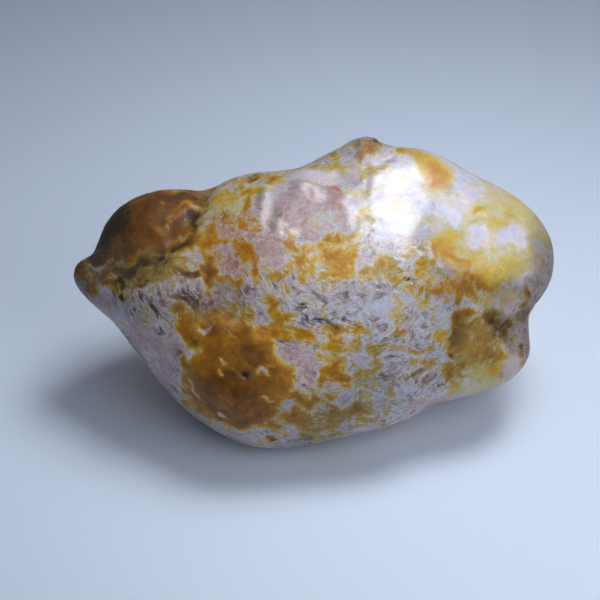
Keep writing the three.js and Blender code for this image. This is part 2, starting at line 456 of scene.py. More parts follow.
        (-13.4, -0.6, 2.6, 0.9, -15, 0.9), (-1.4, -1.7, 1.6, 0.5, -15), (0.6, -3.4, 2.4, 0.6, -10),
        (10.4, 1, 1.1, 0.35, -10), (4.5, -3.5, 1.6, 0.5, 5, 0.8), (-7, 0, 1.6, 0.6, 0, 0.8),
        (8.4, -9.4, 3, 1.4, 20, 0.35), (6, -11.4, 2.2, 0.9, 15, 0.4), (-8.8, 2.6, 1, 1, 0, 0.6),
        (0, -15.5, 0.6, 0.3, 10), (3.6, -13.4, 0.35, 0.9, 10),
    ),
    Mineral.OLIVE: patches(
        (20, 4, 6, 6, 0, 0.55, 2), (6, -7.5, 4, 5, 0, 0.5), (4, -14, 6, 2.2, 12),
        (-18.5, 2.2, 4, 2.2, 18), (-12.8, 3.6, 1, 1.6, 0, 0.7), (18, -5.5, 3.4, 3),
        (9, -8, 6, 5, 15, 0.9, 1.5), (-4.2, -1.8, 0.8, 1.6, 0, 0.6), (-11.2, 1.2, 1.2, 2, 0, 0.5),
        (8.5, 2.6, 3.2, 1.2), (-8.5, -8, 4, 2, 0, 0.5), (16.2, -8.8, 2, 1), (-22, 3.8, 2, 0.6),
    ),
    Mineral.EMBER: patches(
        (-7.8, 7.4, 0.6, 1), (-2.6, 4.8, 0.5, 1.1, 15), (-3.4, 5.9, 1, 0.35, -30),
        (-5.2, 6.5, 0.9, 0.3, -8), (-6.4, 2.7, 0.5, 1.2, 12), (-8.8, 1.1, 1, 0.4, 6),
        (-10.4, -3.4, 4, 1.6, 0, 0.55, 0.8), (-2.6, -4.6, 4.4, 1.2, 0, 0.45, 0.8),
        (14.6, -0.4, 2, 1, 0, 0.5, 0.8), (5.8, 12.2, 0.3, 1.1), (14.6, 12.3, 1.1, 0.5, -40, 0.6),
        (12.8, 12.7, 0.4, 0.8), (12.8, 4.2, 0.5, 1, 25), (11.3, 5.2, 0.6, 0.4), (-0.9, 1.9, 0.4, 0.5),
        (9.7, -4.4, 0.9, 0.5), (10.9, -6.5, 1, 0.4), (17.4, 1.3, 1.7, 0.4), (13.7, 0, 0.9, 0.5),
        (-12.8, -13.4, 2, 0.8, -35, 0.5), (-11, -1.4, 4, 2.6, 0, 0.6, 1.5),
        (-9, -15.2, 1.8, 0.4, -12, 0.5), (2.8, 10.8, 1.6, 0.35, -25), (5.9, 15.3, 1, 0.6, 0, 0.8),
        (20.9, -9, 0.6, 0.6), (-18.6, 7, 3, 2.6, 0, 0.4, 1.5), (-8, 5.6, 5, 4.4, 0, 0.6, 2),
        (2.2, 9.4, 2.2, 1.2, 0, 0.55, 1), (14, 12.6, 1.3, 2.3, 38, 0.7, 0.8),
        (15.4, 3, 2.2, 2, 0, 0.65, 1), (20.5, 0.2, 3.2, 0.9, 0, 0.4, 1), (1.6, 3.2, 3.2, 2, 0, 0.42, 1),
        (14, 4.4, 2.2, 1.4, 0, 0.2, 1), (-11.2, 4.8, 2.2, 1.4, 0, 0.4, 1),
        (16.6, 0.5, 3.8, 1, -5, 0.5, 0.8), (-11.6, -11, 3.6, 3.6, 0, 0.35, 1.5),
    ),
    # Dark green mossy patches, and painted shade in the valley, at the dark left end and along the brow's top
    # edge.
    Mineral.MOSS_AND_SHADE: patches(
        (-22.5, 7.4, 3.9, 1.7, 52), (-20.2, 2.7, 2.4, 0.9, 10), (-18, 2.2, 4.6, 1.8, 18, 0.45, 1),
        (-23, 1.6, 3, 1.6, -10, 0.5, 1), (-19.4, 7.6, 4.8, 3.6, 0, 0.4, 1.5),
        (-14.6, 5.2, 1.6, 1, 30, 0.45, 0.8), (-21, 1, 1.1, 0.5, -45), (-23.6, 4.6, 1.4, 0.8, 20),
        (-20.5, -0.6, 0.4, 0.4), (-13.2, 8.2, 0.5, 1.2, -12), (-14.4, 10.9, 2.6, 0.7, 10, 0.6),
        (-14.8, 5.1, 0.4, 0.6), (-17, 4, 1.1, 0.35, 28), (-16.4, 3.1, 0.7, 0.25, 20, 0.8),
        (-13.4, 1.5, 0.9, 0.35, 10, 0.8), (-18.6, 0.8, 1.4, 0.35, 15, 0.8),
        (-12.3, 11.3, 0.7, 0.5, 0, 0.5), (-6.1, 12.5, 0.8, 0.5, 0, 0.45), (-11, 1, 0.5, 1.3, 0, 0.5),
        (4.3, -12.9, 1.6, 0.7, 0, 0.5), (-4, -15.9, 0.8, 0.5, 0, 0.6),
        (21.4, -4.2, 1.4, 1.5, 0, 0.65, 1.2), (20.3, -3.3, 1.3, 0.6, 0, 0.6, 0.8),
        (23.8, -2.4, 0.9, 0.9, 0, 0.7, 0.8), (23, -6.8, 0.4, 0.9, 0, 0.7), (15.3, -6.8, 0.5, 0.6),
        (15.4, -5, 0.3, 1.6, 0, 0.6), (23.4, -0.2, 0.6, 0.9, 0, 0.5), (17.3, 0.7, 0.5, 0.3, 20, 0.5),
        (7, 16.3, 0.8, 0.3), (18.8, -5.4, 4.4, 3.6, 0, 0.15, 1.5),
    ),
    Mineral.BLUSH: patches(
        (-8.5, 5, 6.5, 7, 0, 0.7, 3), (-13, -0.5, 4, 3, 0, 0.7, 2), (-16.5, -7, 3, 4.5, 30, 0.5, 2),
        (2, 14, 7, 2.5, 12, 0.4, 1.5), (-1.4, -8, 3.5, 3.5, 0, 0.8, 1.5), (24, -5, 3, 6, 0, 0.8, 2),
        (-3, 1.5, 3.5, 3, 0, 0.5, 2),
    ),
    # Cold whites, and the floor's bluish bounce light painted over the lower side.
    Mineral.FROST_AND_BOUNCE: patches(
        (9.5, -8, 6.5, 4.5, 15, 0.9, 2), (8, -1.6, 4.5, 1.6, 4, 0.8, 1.5),
        (0.6, -1.6, 3, 1.4, 0, 0.5, 1.5), (13.8, -5, 1.4, 4, 0, 0.7, 1),
        (-16.4, 2.8, 3, 1.6, 20, 0.8, 1), (-20, -2.6, 3, 1.4, -20, 0.6, 1),
        (2.2, 7.6, 2, 1.4, 10, 0.9, 1), (21, -8.6, 4, 2, 20, 0.5, 1.5),
    ),
    # Painted shade: a dull brown layer that darkens both ends, the lower side, the brow's top edge and the
    # knob.
    Mineral.SHADE_FILM: patches(
        (-24.6, 4.4, 4.8, 4.6, 0, 0.9, 2.6), (-25.6, 1, 2.4, 2.4, 0, 0.88, 1.6),
        (-18.5, 8.5, 7.5, 4.8, 0, 0.15, 3), (-17, 1.8, 5, 2.6, 12, 0.5, 1.5),
        (-13, -1.3, 5.5, 2.2, 0, 0.65, 2), (9.5, -8.4, 7, 4.8, 15, 0.42, 2.5),
        (19.5, -8, 6, 4, 15, 0.4, 2.5), (24.8, -4, 2.6, 7, 0, 0.85, 2), (26.4, 3, 2.4, 6.6, -8, 0.8, 2),
        (23, -0.2, 3.2, 2, -10, 0.75, 1.5), (20.6, -4.4, 2.8, 2.6, 0, 0.45, 1.5),
        (17.6, -5.2, 3.6, 3.2, 0, 0.3, 1.5), (9, -2, 6, 3.5, 0, 0.12, 2),
        (0.5, -13.4, 7, 3.6, 8, 0.5, 2), (17, 0.2, 5, 1.8, -5, 0.35, 1.5),
        (-4, -9.8, 3, 4, 0, 0.25, 1.5), (-9.5, -3.4, 4.5, 1.6, 0, 0.3, 1.5), (-17, 11, 6, 1, 8, 0.35, 1),
        (6.4, 16.2, 2.2, 1.3, 0, 0.6, 0.8),
    ),
    Mineral.POLISH: patches(
        (9, 9.4, 5, 5.8, -15, 1, 1.6), (-4.9, 9.1, 0.9, 2, 8, 1, 0.4), (5.2, 6.6, 1.8, 1.2, 0, 1, 0.8),
        (-2.9, 6.9, 1.8, 0.8, -28, 1, 0.5), (0.1, 10.9, 1.5, 0.8, -22, 1, 0.5),
        (0.5, 12.4, 4.4, 0.9, 0, 1, 0.5), (-8, 10.8, 4, 1.6, 6, 0.6, 1), (6.6, 16.9, 0.8, 0.4),
        (8, 5.5, 3.2, 0.9, 0, 1, 0.6), (17, 11.2, 3, 2, -10, 0.8, 1.2), (12.8, 3, 2, 2.4, 0, 0.2, 1.5),
    ),
    Mineral.MATT: patches(
        (3.6, 4.4, 3.4, 2.2, 0, 1, 0.8), (0.4, 8.4, 3.8, 2.6, 0, 0.9, 0.8),
        (2.8, 10.8, 1.6, 1.2, -30, 0.9, 0.8), (15.6, 5, 3.4, 2.6, 0, 1, 1),
        (14, 12.7, 1.4, 2.8, 38, 1, 0.8), (6.8, 15, 2.4, 1.2, 0, 1, 0.8),
        (8.2, 3.2, 2.2, 1.3, 0, 1, 0.8), (-3.2, 8.8, 0.8, 1.8, 0, 0.8, 0.8),
    ),
}

CREASES: tuple[Crease, ...] = (
    Crease(((-11.8, 11.8), (-13.1, 8.6), (-14, 6), (-16.6, 4.2), (-20.5, 3.2), (-24.6, 3.3)), 0.9, 0.5, 0.3),
    Crease(((15.6, -2.3), (15.4, -6.1), (14.9, -9.8)), 1.0, 0.25, 0.2),
    Crease(((19.6, -2.8), (21.4, -4.2), (22.6, -6.4)), 1.0, 0.8, 0.55),
    Crease(((24.6, -2.2), (22.6, -3.4)), 0.9, 0.5, 0.4),
    Crease(((-3.4, 11.6), (-1.6, 12.5), (1, 12.6), (3, 11.9), (4.3, 10.6)), 0.45, -0.08),
    Crease(((12.6, 2.2), (16.5, 0.4), (20, -1)), 1.0, 0.18, 0.1),
    Crease(((6.1, 13.8), (5.9, 10.6)), 0.35, 0.12, 0.1),
    Crease(((2.6, 13.3), (6.6, 13.6), (8.8, 14.8)), 0.5, 0.15),
    Crease(((-15.4, -0.6), (-14, -0.9), (-12.8, -2)), 0.2, 0.2, 0.8),
    Crease(((-14.2, -0.1), (-13.2, -0.6), (-12.6, -1.5)), 0.18, 0.15, 0.8),
    Crease(((0.3, -3.1), (1.4, -3.2), (2.6, -4.1)), 0.25, 0.22, 0.7),
    Crease(((-3.8, -5.5), (-1.9, -5.6)), 0.22, 0.2, 0.6),
    Crease(((10.1, -9.7), (11.8, -8.7)), 0.22, 0.2, 0.7),
    Crease(((-1.9, -16.6), (-0.4, -16.2)), 0.25, 0.2, 0.6),
    Crease(((9.9, 1.3), (11, 1)), 0.18, 0.15, 0.6),
    Crease(((-7.4, -9), (-7.2, -9.1)), 0.35, 0.5, 1.0),
)

SWELLINGS: tuple[Swelling, ...] = (
    Swelling(-8.2, -8.2, 6.4, 6.4, height=0.45),
    Swelling(0.1, 9.0, 4.3, 3.0, height=-0.20, rim=0.05),
    Swelling(-2.7, 8.9, 1.6, 2.4, height=-0.14),
    Swelling(-1.4, -8.0, 2.2, 2.6, height=-0.12, rim=0.04),
    Swelling(-11.8, -4.0, 0.9, 0.6, height=-0.15, rim=0.12, darkness=0.2),
    Swelling(6.3, 16.3, 1.6, 1.2, height=0.3),
    Swelling(20.3, 8.0, 3.0, 2.5, height=0.25),
    Swelling(-17.0, 7.8, 3.6, 2.6, height=0.25),
)

FLATS: tuple[Flat, ...] = (
    Flat(8.9, 9.8, 4.5, 5.4, -15, (0.144, -0.343, 0.928), 0.8),
    Flat(5.6, 6.4, 2.2, 1.5, 0, (0.160, -0.343, 0.926), 0.7),
    Flat(0.3, 8.3, 3.8, 2.4, 0, (0.25, -0.56, 0.79), 0.85),
    Flat(-4.9, 9.1, 0.9, 2.0, 8, (0.205, -0.348, 0.914), 0.85),
    Flat(-3.0, 6.9, 1.5, 0.8, -28, (0.205, -0.35, 0.914), 0.85),
    Flat(0.1, 10.9, 2.0, 1.1, -18, (0.188, -0.34, 0.92), 0.9),
    Flat(1.0, 12.5, 3.0, 0.8, -8, (0.188, -0.34, 0.92), 0.6),
    Flat(8.0, 5.4, 2.8, 1.0, 0, (0.160, -0.343, 0.926), 0.5),
)


@dataclass(frozen=True)
class Grain:
    """The fineness of a noise.

    Attributes:
        scale: Its grains to each step of its coordinates, which is a millimetre unless they are curved.
        detail: How many finer octaves it has.
        rough: How strong they are.
    """

    scale: float
    detail: float
    rough: float


@dataclass(frozen=True)
class Face:
    """The tilted plane that the nodule's best side is turned to.

    Its u runs along +X, its v up the plane and its w out of it, all from the nodule's heart.

    Attributes:
        tilt: How far the plane's outward direction is raised above the horizon, in degrees.
        heart: The nodule's heart, from the frame's origin.
    """

    tilt: float = 38.0
    heart: Triple = (-0.2, 1.2, 13.0)

    @property
    def up(self) -> Array:
        """The direction of v."""
        angle = math.radians(self.tilt)
        return np.array((0.0, math.sin(angle), math.cos(angle)))

    @property
    def out(self) -> Array:
        """The direction of w."""
        angle = math.radians(self.tilt)
        return np.array((0.0, -math.cos(angle), math.sin(angle)))

    def place(self, points: Array) -> tuple[Array, Array]:
        """Finds where points lie on the plane.

        Args:
            points: Their places in the frame.

        Returns:
            Their u and their v.
        """
        reach = points - np.array(self.heart)
        return reach[:, 0], reach @ self.up


class Tree:
    """Builds a node tree with short calls. A feed is a socket to link or a plain value to set."""

    def __init__(self, tree: bpy.types.NodeTree) -> None:
        """Works on a tree, which may hold nodes already."""
        self.tree = tree

    def node(self, kind: str, **settings: object) -> bpy.types.Node:
        """Adds a node.

        Args:
            kind: Its type.
            **settings: Its properties.

        Returns:
            The node.
        """
        made = self.tree.nodes.new(kind)
        for name, value in settings.items():
            setattr(made, name, value)
        return made

    def feed(self, socket: Socket, value: Feed) -> None:
        """Links or sets an input.

        Args:
            socket: The input.
            value: What it takes.
        """
        if isinstance(value, bpy.types.NodeSocket):
            self.tree.links.new(value, socket)
        elif isinstance(value, tuple) and socket.type == "RGBA":
            socket.default_value = (*value, 1.0)
        else:
            socket.default_value = value

    def made(self, kind: str, feeds: dict[str | int, Feed], **settings: object) -> bpy.types.Node:
        """Adds a node and feeds its inputs.

        Args:
            kind: Its type.
            feeds: What each input takes, by the input's name or number.
            **settings: Its properties.

        Returns:
            The node.
        """
        made = self.node(kind, **settings)
        for name, value in feeds.items():
            self.feed(made.inputs[name], value)
        return made

    def math(self, operation: str, *feeds: Feed, clamp: bool = False) -> Socket:
        """Adds arithmetic on numbers, whose result may be held between 0 and 1."""
        made = self.made("ShaderNodeMath", dict(enumerate(feeds)), operation=operation, use_clamp=clamp)
        return made.outputs[0]

    def times(self, *feeds: Feed) -> Socket:
        """Multiplies two or more numbers."""
        product = feeds[0]
        for value in feeds[1:]:
            product = self.math("MULTIPLY", product, value)
        return product

    def larger(self, first: Feed, second: Feed) -> Socket:
        """Takes the larger of two numbers."""
        return self.math("MAXIMUM", first, second)

    def vector(self, operation: str, *feeds: Feed) -> bpy.types.Node:
        """Adds arithmetic on vectors, and gives its node."""
        return self.made("ShaderNodeVectorMath", dict(enumerate(feeds)), operation=operation)

    def add(self, first: Feed, second: Feed) -> Socket:
        """Adds two vectors."""
        return self.vector("ADD", first, second).outputs[0]

    def scaled(self, vector: Feed, size: Feed) -> Socket:
        """Multiplies a vector by a number."""
        feeds = {"Vector": vector, "Scale": size}
        return self.made("ShaderNodeVectorMath", feeds, operation="SCALE").outputs[0]

    def dot(self, first: Feed, second: Feed) -> Socket:
        """Takes the dot product of two vectors."""
        return self.vector("DOT_PRODUCT", first, second).outputs["Value"]

    def joined(self, *feeds: Feed) -> Socket:
        """Makes a vector from up to three numbers."""
        return self.made("ShaderNodeCombineXYZ", dict(enumerate(feeds))).outputs[0]

    def height(self, vector: Feed) -> Socket:
        """Takes a vector's Z."""
        return self.made("ShaderNodeSeparateXYZ", {0: vector}).outputs[2]

    def noise(self, where: Socket, grain: Grain, fourth: Feed | None = None) -> bpy.types.Node:
        """Adds a noise.

        Args:
            where: The place that it is read at.
            grain: Its fineness.
            fourth: A fourth coordinate, if it has one.

        Returns:
            The noise's node, whose first output is its value and second its colour.
        """
        feeds = {"Vector": where, "Scale": grain.scale, "Detail": grain.detail, "Roughness": grain.rough}
        if fourth is None:
            return self.made("ShaderNodeTexNoise", feeds, noise_dimensions="3D")
        return self.made("ShaderNodeTexNoise", {**feeds, "W": fourth}, noise_dimensions="4D")

    def warp(self, where: Socket, grain: Grain, reach: float) -> Socket:
        """Bends places about by up to half the reach, so that patterns lose their straightness."""
        push = self.vector("SUBTRACT", self.noise(where, grain).outputs[1], (0.5, 0.5, 0.5)).outputs[0]
        return self.add(where, self.scaled(push, reach))

    def centred(self, value: Socket) -> Socket:
        """Turns a noise, which is about 0.5, into a push to either side of 0."""
        return self.math("SUBTRACT", value, 0.5)

    def ease(self, value: Feed, step: Step) -> Socket:
        """Takes a value through a smooth step."""
        feeds = dict(enumerate((value, step.low, step.high, step.start, step.end)))
        return self.made("ShaderNodeMapRange", feeds, interpolation_type="SMOOTHSTEP").outputs[0]

    def blend(self, share: Feed, first: Feed, second: Feed, kind: str = "RGBA") -> Socket:
        """Adds a blend of two colours or numbers.

        Args:
            share: How much of the second shows.
            first: The first.
            second: The second.
            kind: RGBA for colours and FLOAT for numbers.

        Returns:
            The blend.
        """
        made = self.node("ShaderNodeMix", data_type=kind)
        ends = [s for s in made.inputs if s.type == ("RGBA" if kind == "RGBA" else "VALUE")]
        first_end, second_end = ends[-2:]
        self.feed(made.inputs[0], share)
        self.feed(first_end, first)
        self.feed(second_end, second)
        return next(s for s in made.outputs if s.type == first_end.type)

    def blend_numbers(self, share: Feed, first: Feed, second: Feed) -> Socket:
        """Adds a blend of two numbers."""
        return self.blend(share, first, second, "FLOAT")

    def line(self, value: Socket, level: float, half_width: float) -> Socket:
        """Draws a line, which is 1 where a noise crosses a level and fades to 0 over half its width."""
        away = self.math("ABSOLUTE", self.math("SUBTRACT", value, level))
        return self.ease(away, Step(0.0, half_width, 1.0, 0.0))


def linked(name: str, data: bpy.types.ID) -> bpy.types.Object:
    """Puts data into the scene as a new object.

    Args:
        name: The object's name.
        data: The data.

    Returns:
        The object.
    """
    made = bpy.data.objects.new(name, data)
    bpy.context.scene.collection.objects.link(made)
    return made


def settle(piece: bpy.types.Object) -> None:
    """Turns a piece's modifiers into its mesh and removes them.

    Args:
        piece: The piece.
    """
    graph = bpy.context.evaluated_depsgraph_get()
    evaluated = piece.evaluated_get(graph)
    mesh = bpy.data.meshes.new_from_object(evaluated, preserve_all_data_layers=True, depsgraph=graph)
    piece.modifiers.clear()
    piece.data = mesh


def read_points(mesh: bpy.types.Mesh) -> Array:
    """Reads a mesh's vertices, in metres."""
    flat = np.empty(len(mesh.vertices) * 3)
    mesh.vertices.foreach_get("co", flat)
    return flat.reshape(-1, 3)


def write_points(mesh: bpy.types.Mesh, points: Array) -> None:
    """Moves a mesh's vertices, in metres."""
    mesh.vertices.foreach_set("co", points.ravel())
    mesh.update()


def mark(mesh: bpy.types.Mesh, name: str, values: Array) -> None:
    """Writes one number for each vertex, as an attribute."""
    layer = mesh.attributes.new(name, "FLOAT", "POINT")
    layer.data.foreach_set("value", values.astype(np.float32))


@dataclass
class Skin:
    """The nodule's skin: a mesh with its features pressed in and its minerals placed.

    Attributes:
        face: The plane that the features are placed on.
        voxel: The grain of the rounded copy before it is subdivided.
        merging: How near corners are to be one.
        rounding: How many times the copy is smoothed.
        rounding_share: How far each time goes, from 0 to 1.
        seed: The seed of everything random.
        swell: How high the skin's broad waves are.
        wrinkle: How high its wrinkles are.
        grain: How high its finest grain is.
        pits: How many pits there are to a square centimetre.
        pit_radius: How wide a pit is.
        pit_depth: How deep a pit is.
        wobble: How far the patches' borders wind, as a share of each wave.
        wobble_waves: The shortest and the longest of those waves.
        wobble_count: How many of them there are.
        sole_grip: How far above the sole's plane the skin is still pressed flat on it.
    """

    face: Face
    voxel: float = 0.51
    merging: float = 0.001
    rounding: int = 9
    rounding_share: float = 0.5
    seed: int = 7
    swell: float = 0.34
    wrinkle: float = 0.10
    grain: float = 0.05
    pits: float = 9.0
    pit_radius: float = 0.42
    pit_depth: float = 0.16
    wobble: float = 0.06
    wobble_waves: tuple[float, float] = (0.9, 5.0)
    wobble_count: int = 9
    sole_grip: float = 0.12

    FACING = (-0.1, 0.2)  # how squarely the skin faces outwards where features begin and where they are full
    BOSS = (0.45, 1.05)  # where a swelling's middle starts to fall off and where it ends, as a reach
    RIM = 1.05  # where its rim is highest
    RIM_WIDTH = 0.18
    WORN = (0.6, 1.5)  # where a flat starts to fade and where it ends, as a reach

    def build(self) -> bpy.types.Object:
        """Makes the skin as a plain mesh, with its attributes and its material.

        Returns:
            The finished object.
        """
        skin = self.rounded_copy()
        mesh = skin.data
        points = read_points(mesh) / MM
        normals = np.empty(points.size, dtype=np.float32)
        mesh.vertex_normals.foreach_get("vector", normals)
        normals = normals.reshape(-1, 3).astype(float)
        u, v = self.face.place(points)
        wound_u, wound_v = self.wobbled(u, v)
        facing = smoothstep(*self.FACING, normals @ self.face.out)
        rise, darkness = self.relief(u, v, wound_u, wound_v)
        mark(mesh, "darkness", darkness * facing)
        mark(mesh, "facing", facing)
        self.wear_flats(points, facing, u, v)
        points += normals * (rise * facing)[:, None]
        write_points(mesh, points * MM)
        self.paint(mesh, wound_u, wound_v)
        self.wrinkle_skin(skin)
        self.flatten_sole(skin.data)
        return skin

    def rounded_copy(self) -> bpy.types.Object:
        """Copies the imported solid, merges its corners and gives it an even, rounded skin.

        Returns:
            The copy.
        """
        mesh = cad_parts[NODE].data.copy()
        mesh.materials.clear()
        copy = linked(PIECE, mesh)
        copy.modifiers.new("merge", "WELD").merge_threshold = self.merging * MM
        remesh = copy.modifiers.new("remesh", "REMESH")
        remesh.mode = "VOXEL"
        remesh.voxel_size = self.voxel * MM
        smooth = copy.modifiers.new("smooth", "SMOOTH")
        smooth.factor = self.rounding_share
        smooth.iterations = self.rounding
        divide = copy.modifiers.new("divide", "SUBSURF")
        divide.levels = divide.render_levels = 1
        settle(copy)
        return copy

    def wobbled(self, u: Array, v: Array) -> tuple[Array, Array]:
        """Shakes places on the face, so that the patches' borders wind.

        Args:
            u: The places along the face.
            v: The places up the face.

        Returns:
            The shaken places.
        """
        random = np.random.default_rng(self.seed)
        shaken = [u.copy(), v.copy()]
        for wave in np.geomspace(*self.wobble_waves, self.wobble_count):
            for axis in range(2):
                angle, phase = random.uniform(0.0, 2.0 * math.pi, 2)
                along = u * math.cos(angle) + v * math.sin(angle)
                shaken[axis] += self.wobble * wave * np.sin(2.0 * math.pi * along / wave + phase)
        return shaken[0], shaken[1]

    @staticmethod
    def relief(u: Array, v: Array, wound_u: Array, wound_v: Array) -> tuple[Array, Array]:
        """Adds the creases and the swellings up.

        Args:
            u: The places along the face.
            v: The places up the face.
            wound_u: The same, shaken.
            wound_v: The same, shaken.

        Returns:
            How far the skin rises, and how dark it is painted.
        """
        rise = np.zeros(len(u))
        darkness = np.zeros(len(u))
        for crease in CREASES:
            near = np.exp(-((crease.distance(u, v) / crease.width) ** 2))
            rise -= crease.depth * near
            darkness = np.maximum(darkness, crease.darkness * near)
        for swelling in SWELLINGS:
            reach = swelling.reach(wound_u, wound_v)
            middle = 1.0 - smoothstep(*Skin.BOSS, reach)
            border = np.exp(-(((reach - Skin.RIM) / Skin.RIM_WIDTH) ** 2))
            rise += swelling.height * middle + swelling.rim * border
            darkness = np.maximum(darkness, swelling.darkness * middle)
        return rise, darkness

    @staticmethod
    def wear_flats(points: Array, facing: Array, u: Array, v: Array) -> None:
        """Rubs the worn spots level.

        Args:
            points: The skin's vertices, which it moves.
            facing: How far each of them is turned to the face.
            u: Their places along the face.
            v: Their places up the face.
        """
        for flat in FLATS:
            worn = facing * (1.0 - smoothstep(*Skin.WORN, flat.reach(u, v)))
            level = np.array(flat.facing) / np.linalg.norm(flat.facing)
            above = points @ level
            above -= np.average(above, weights=worn)
            points -= level * (flat.wear * worn * above)[:, None]

    @staticmethod
    def paint(mesh: bpy.types.Mesh, u: Array, v: Array) -> None:
        """Writes the minerals of the face as attributes.

        Args:
            mesh: The skin's mesh.
            u: Its vertices' shaken places along the face.
            v: Their shaken places up the face.
        """
        iron = np.full(len(u), LACE.iron)
        calm = np.full(len(u), LACE.calm)
        for mineral, blotches in PATCHES.items():
            field = np.zeros(len(u))
            for blotch in blotches:
                field = np.maximum(field, blotch.field(u, v))
            tone = TONES.get(mineral, Tone())
            if tone.iron is not None:
                iron += (tone.iron - iron) * field
            calm = np.maximum(calm, tone.calm * field)
            if mineral.value in WILD:
                mark(mesh, mineral.value, field)
        mark(mesh, "iron", iron)
        mark(mesh, "calm", calm)

    def wrinkle_skin(self, skin: bpy.types.Object) -> None:
        """Grows the fine relief with geometry nodes, and spreads the minerals over the unseen sides.

        Args:
            skin: The pressed skin.
        """
        group, inputs = ReliefNodes().build()
        modifier = skin.modifiers.new("relief", "NODES")
        modifier.node_group = group
        values = {
            "Swell": self.swell * MM,
            "Wrinkle": self.wrinkle * MM,
            "Grain": self.grain * MM,
            "Pits per square metre": self.pits * SQUARE_CM_IN_SQUARE_M,
            "Pit radius": self.pit_radius * MM,
            "Pit depth": self.pit_depth * MM,
            "Seed": self.seed,
        }
        for name, value in values.items():
            modifier[inputs[name]] = value
        settle(skin)

    def flatten_sole(self, mesh: bpy.types.Mesh) -> None:
        """Sets the skin down flat on the sole's plane.

        Args:
            mesh: The skin's mesh.
        """
        points = read_points(mesh)
        floor = CAD_BOX[0].z
        low = points[:, 2] - floor
        points[:, 2] = floor + np.where(low < self.sole_grip * MM, 0.0, low)
        write_points(mesh, points)


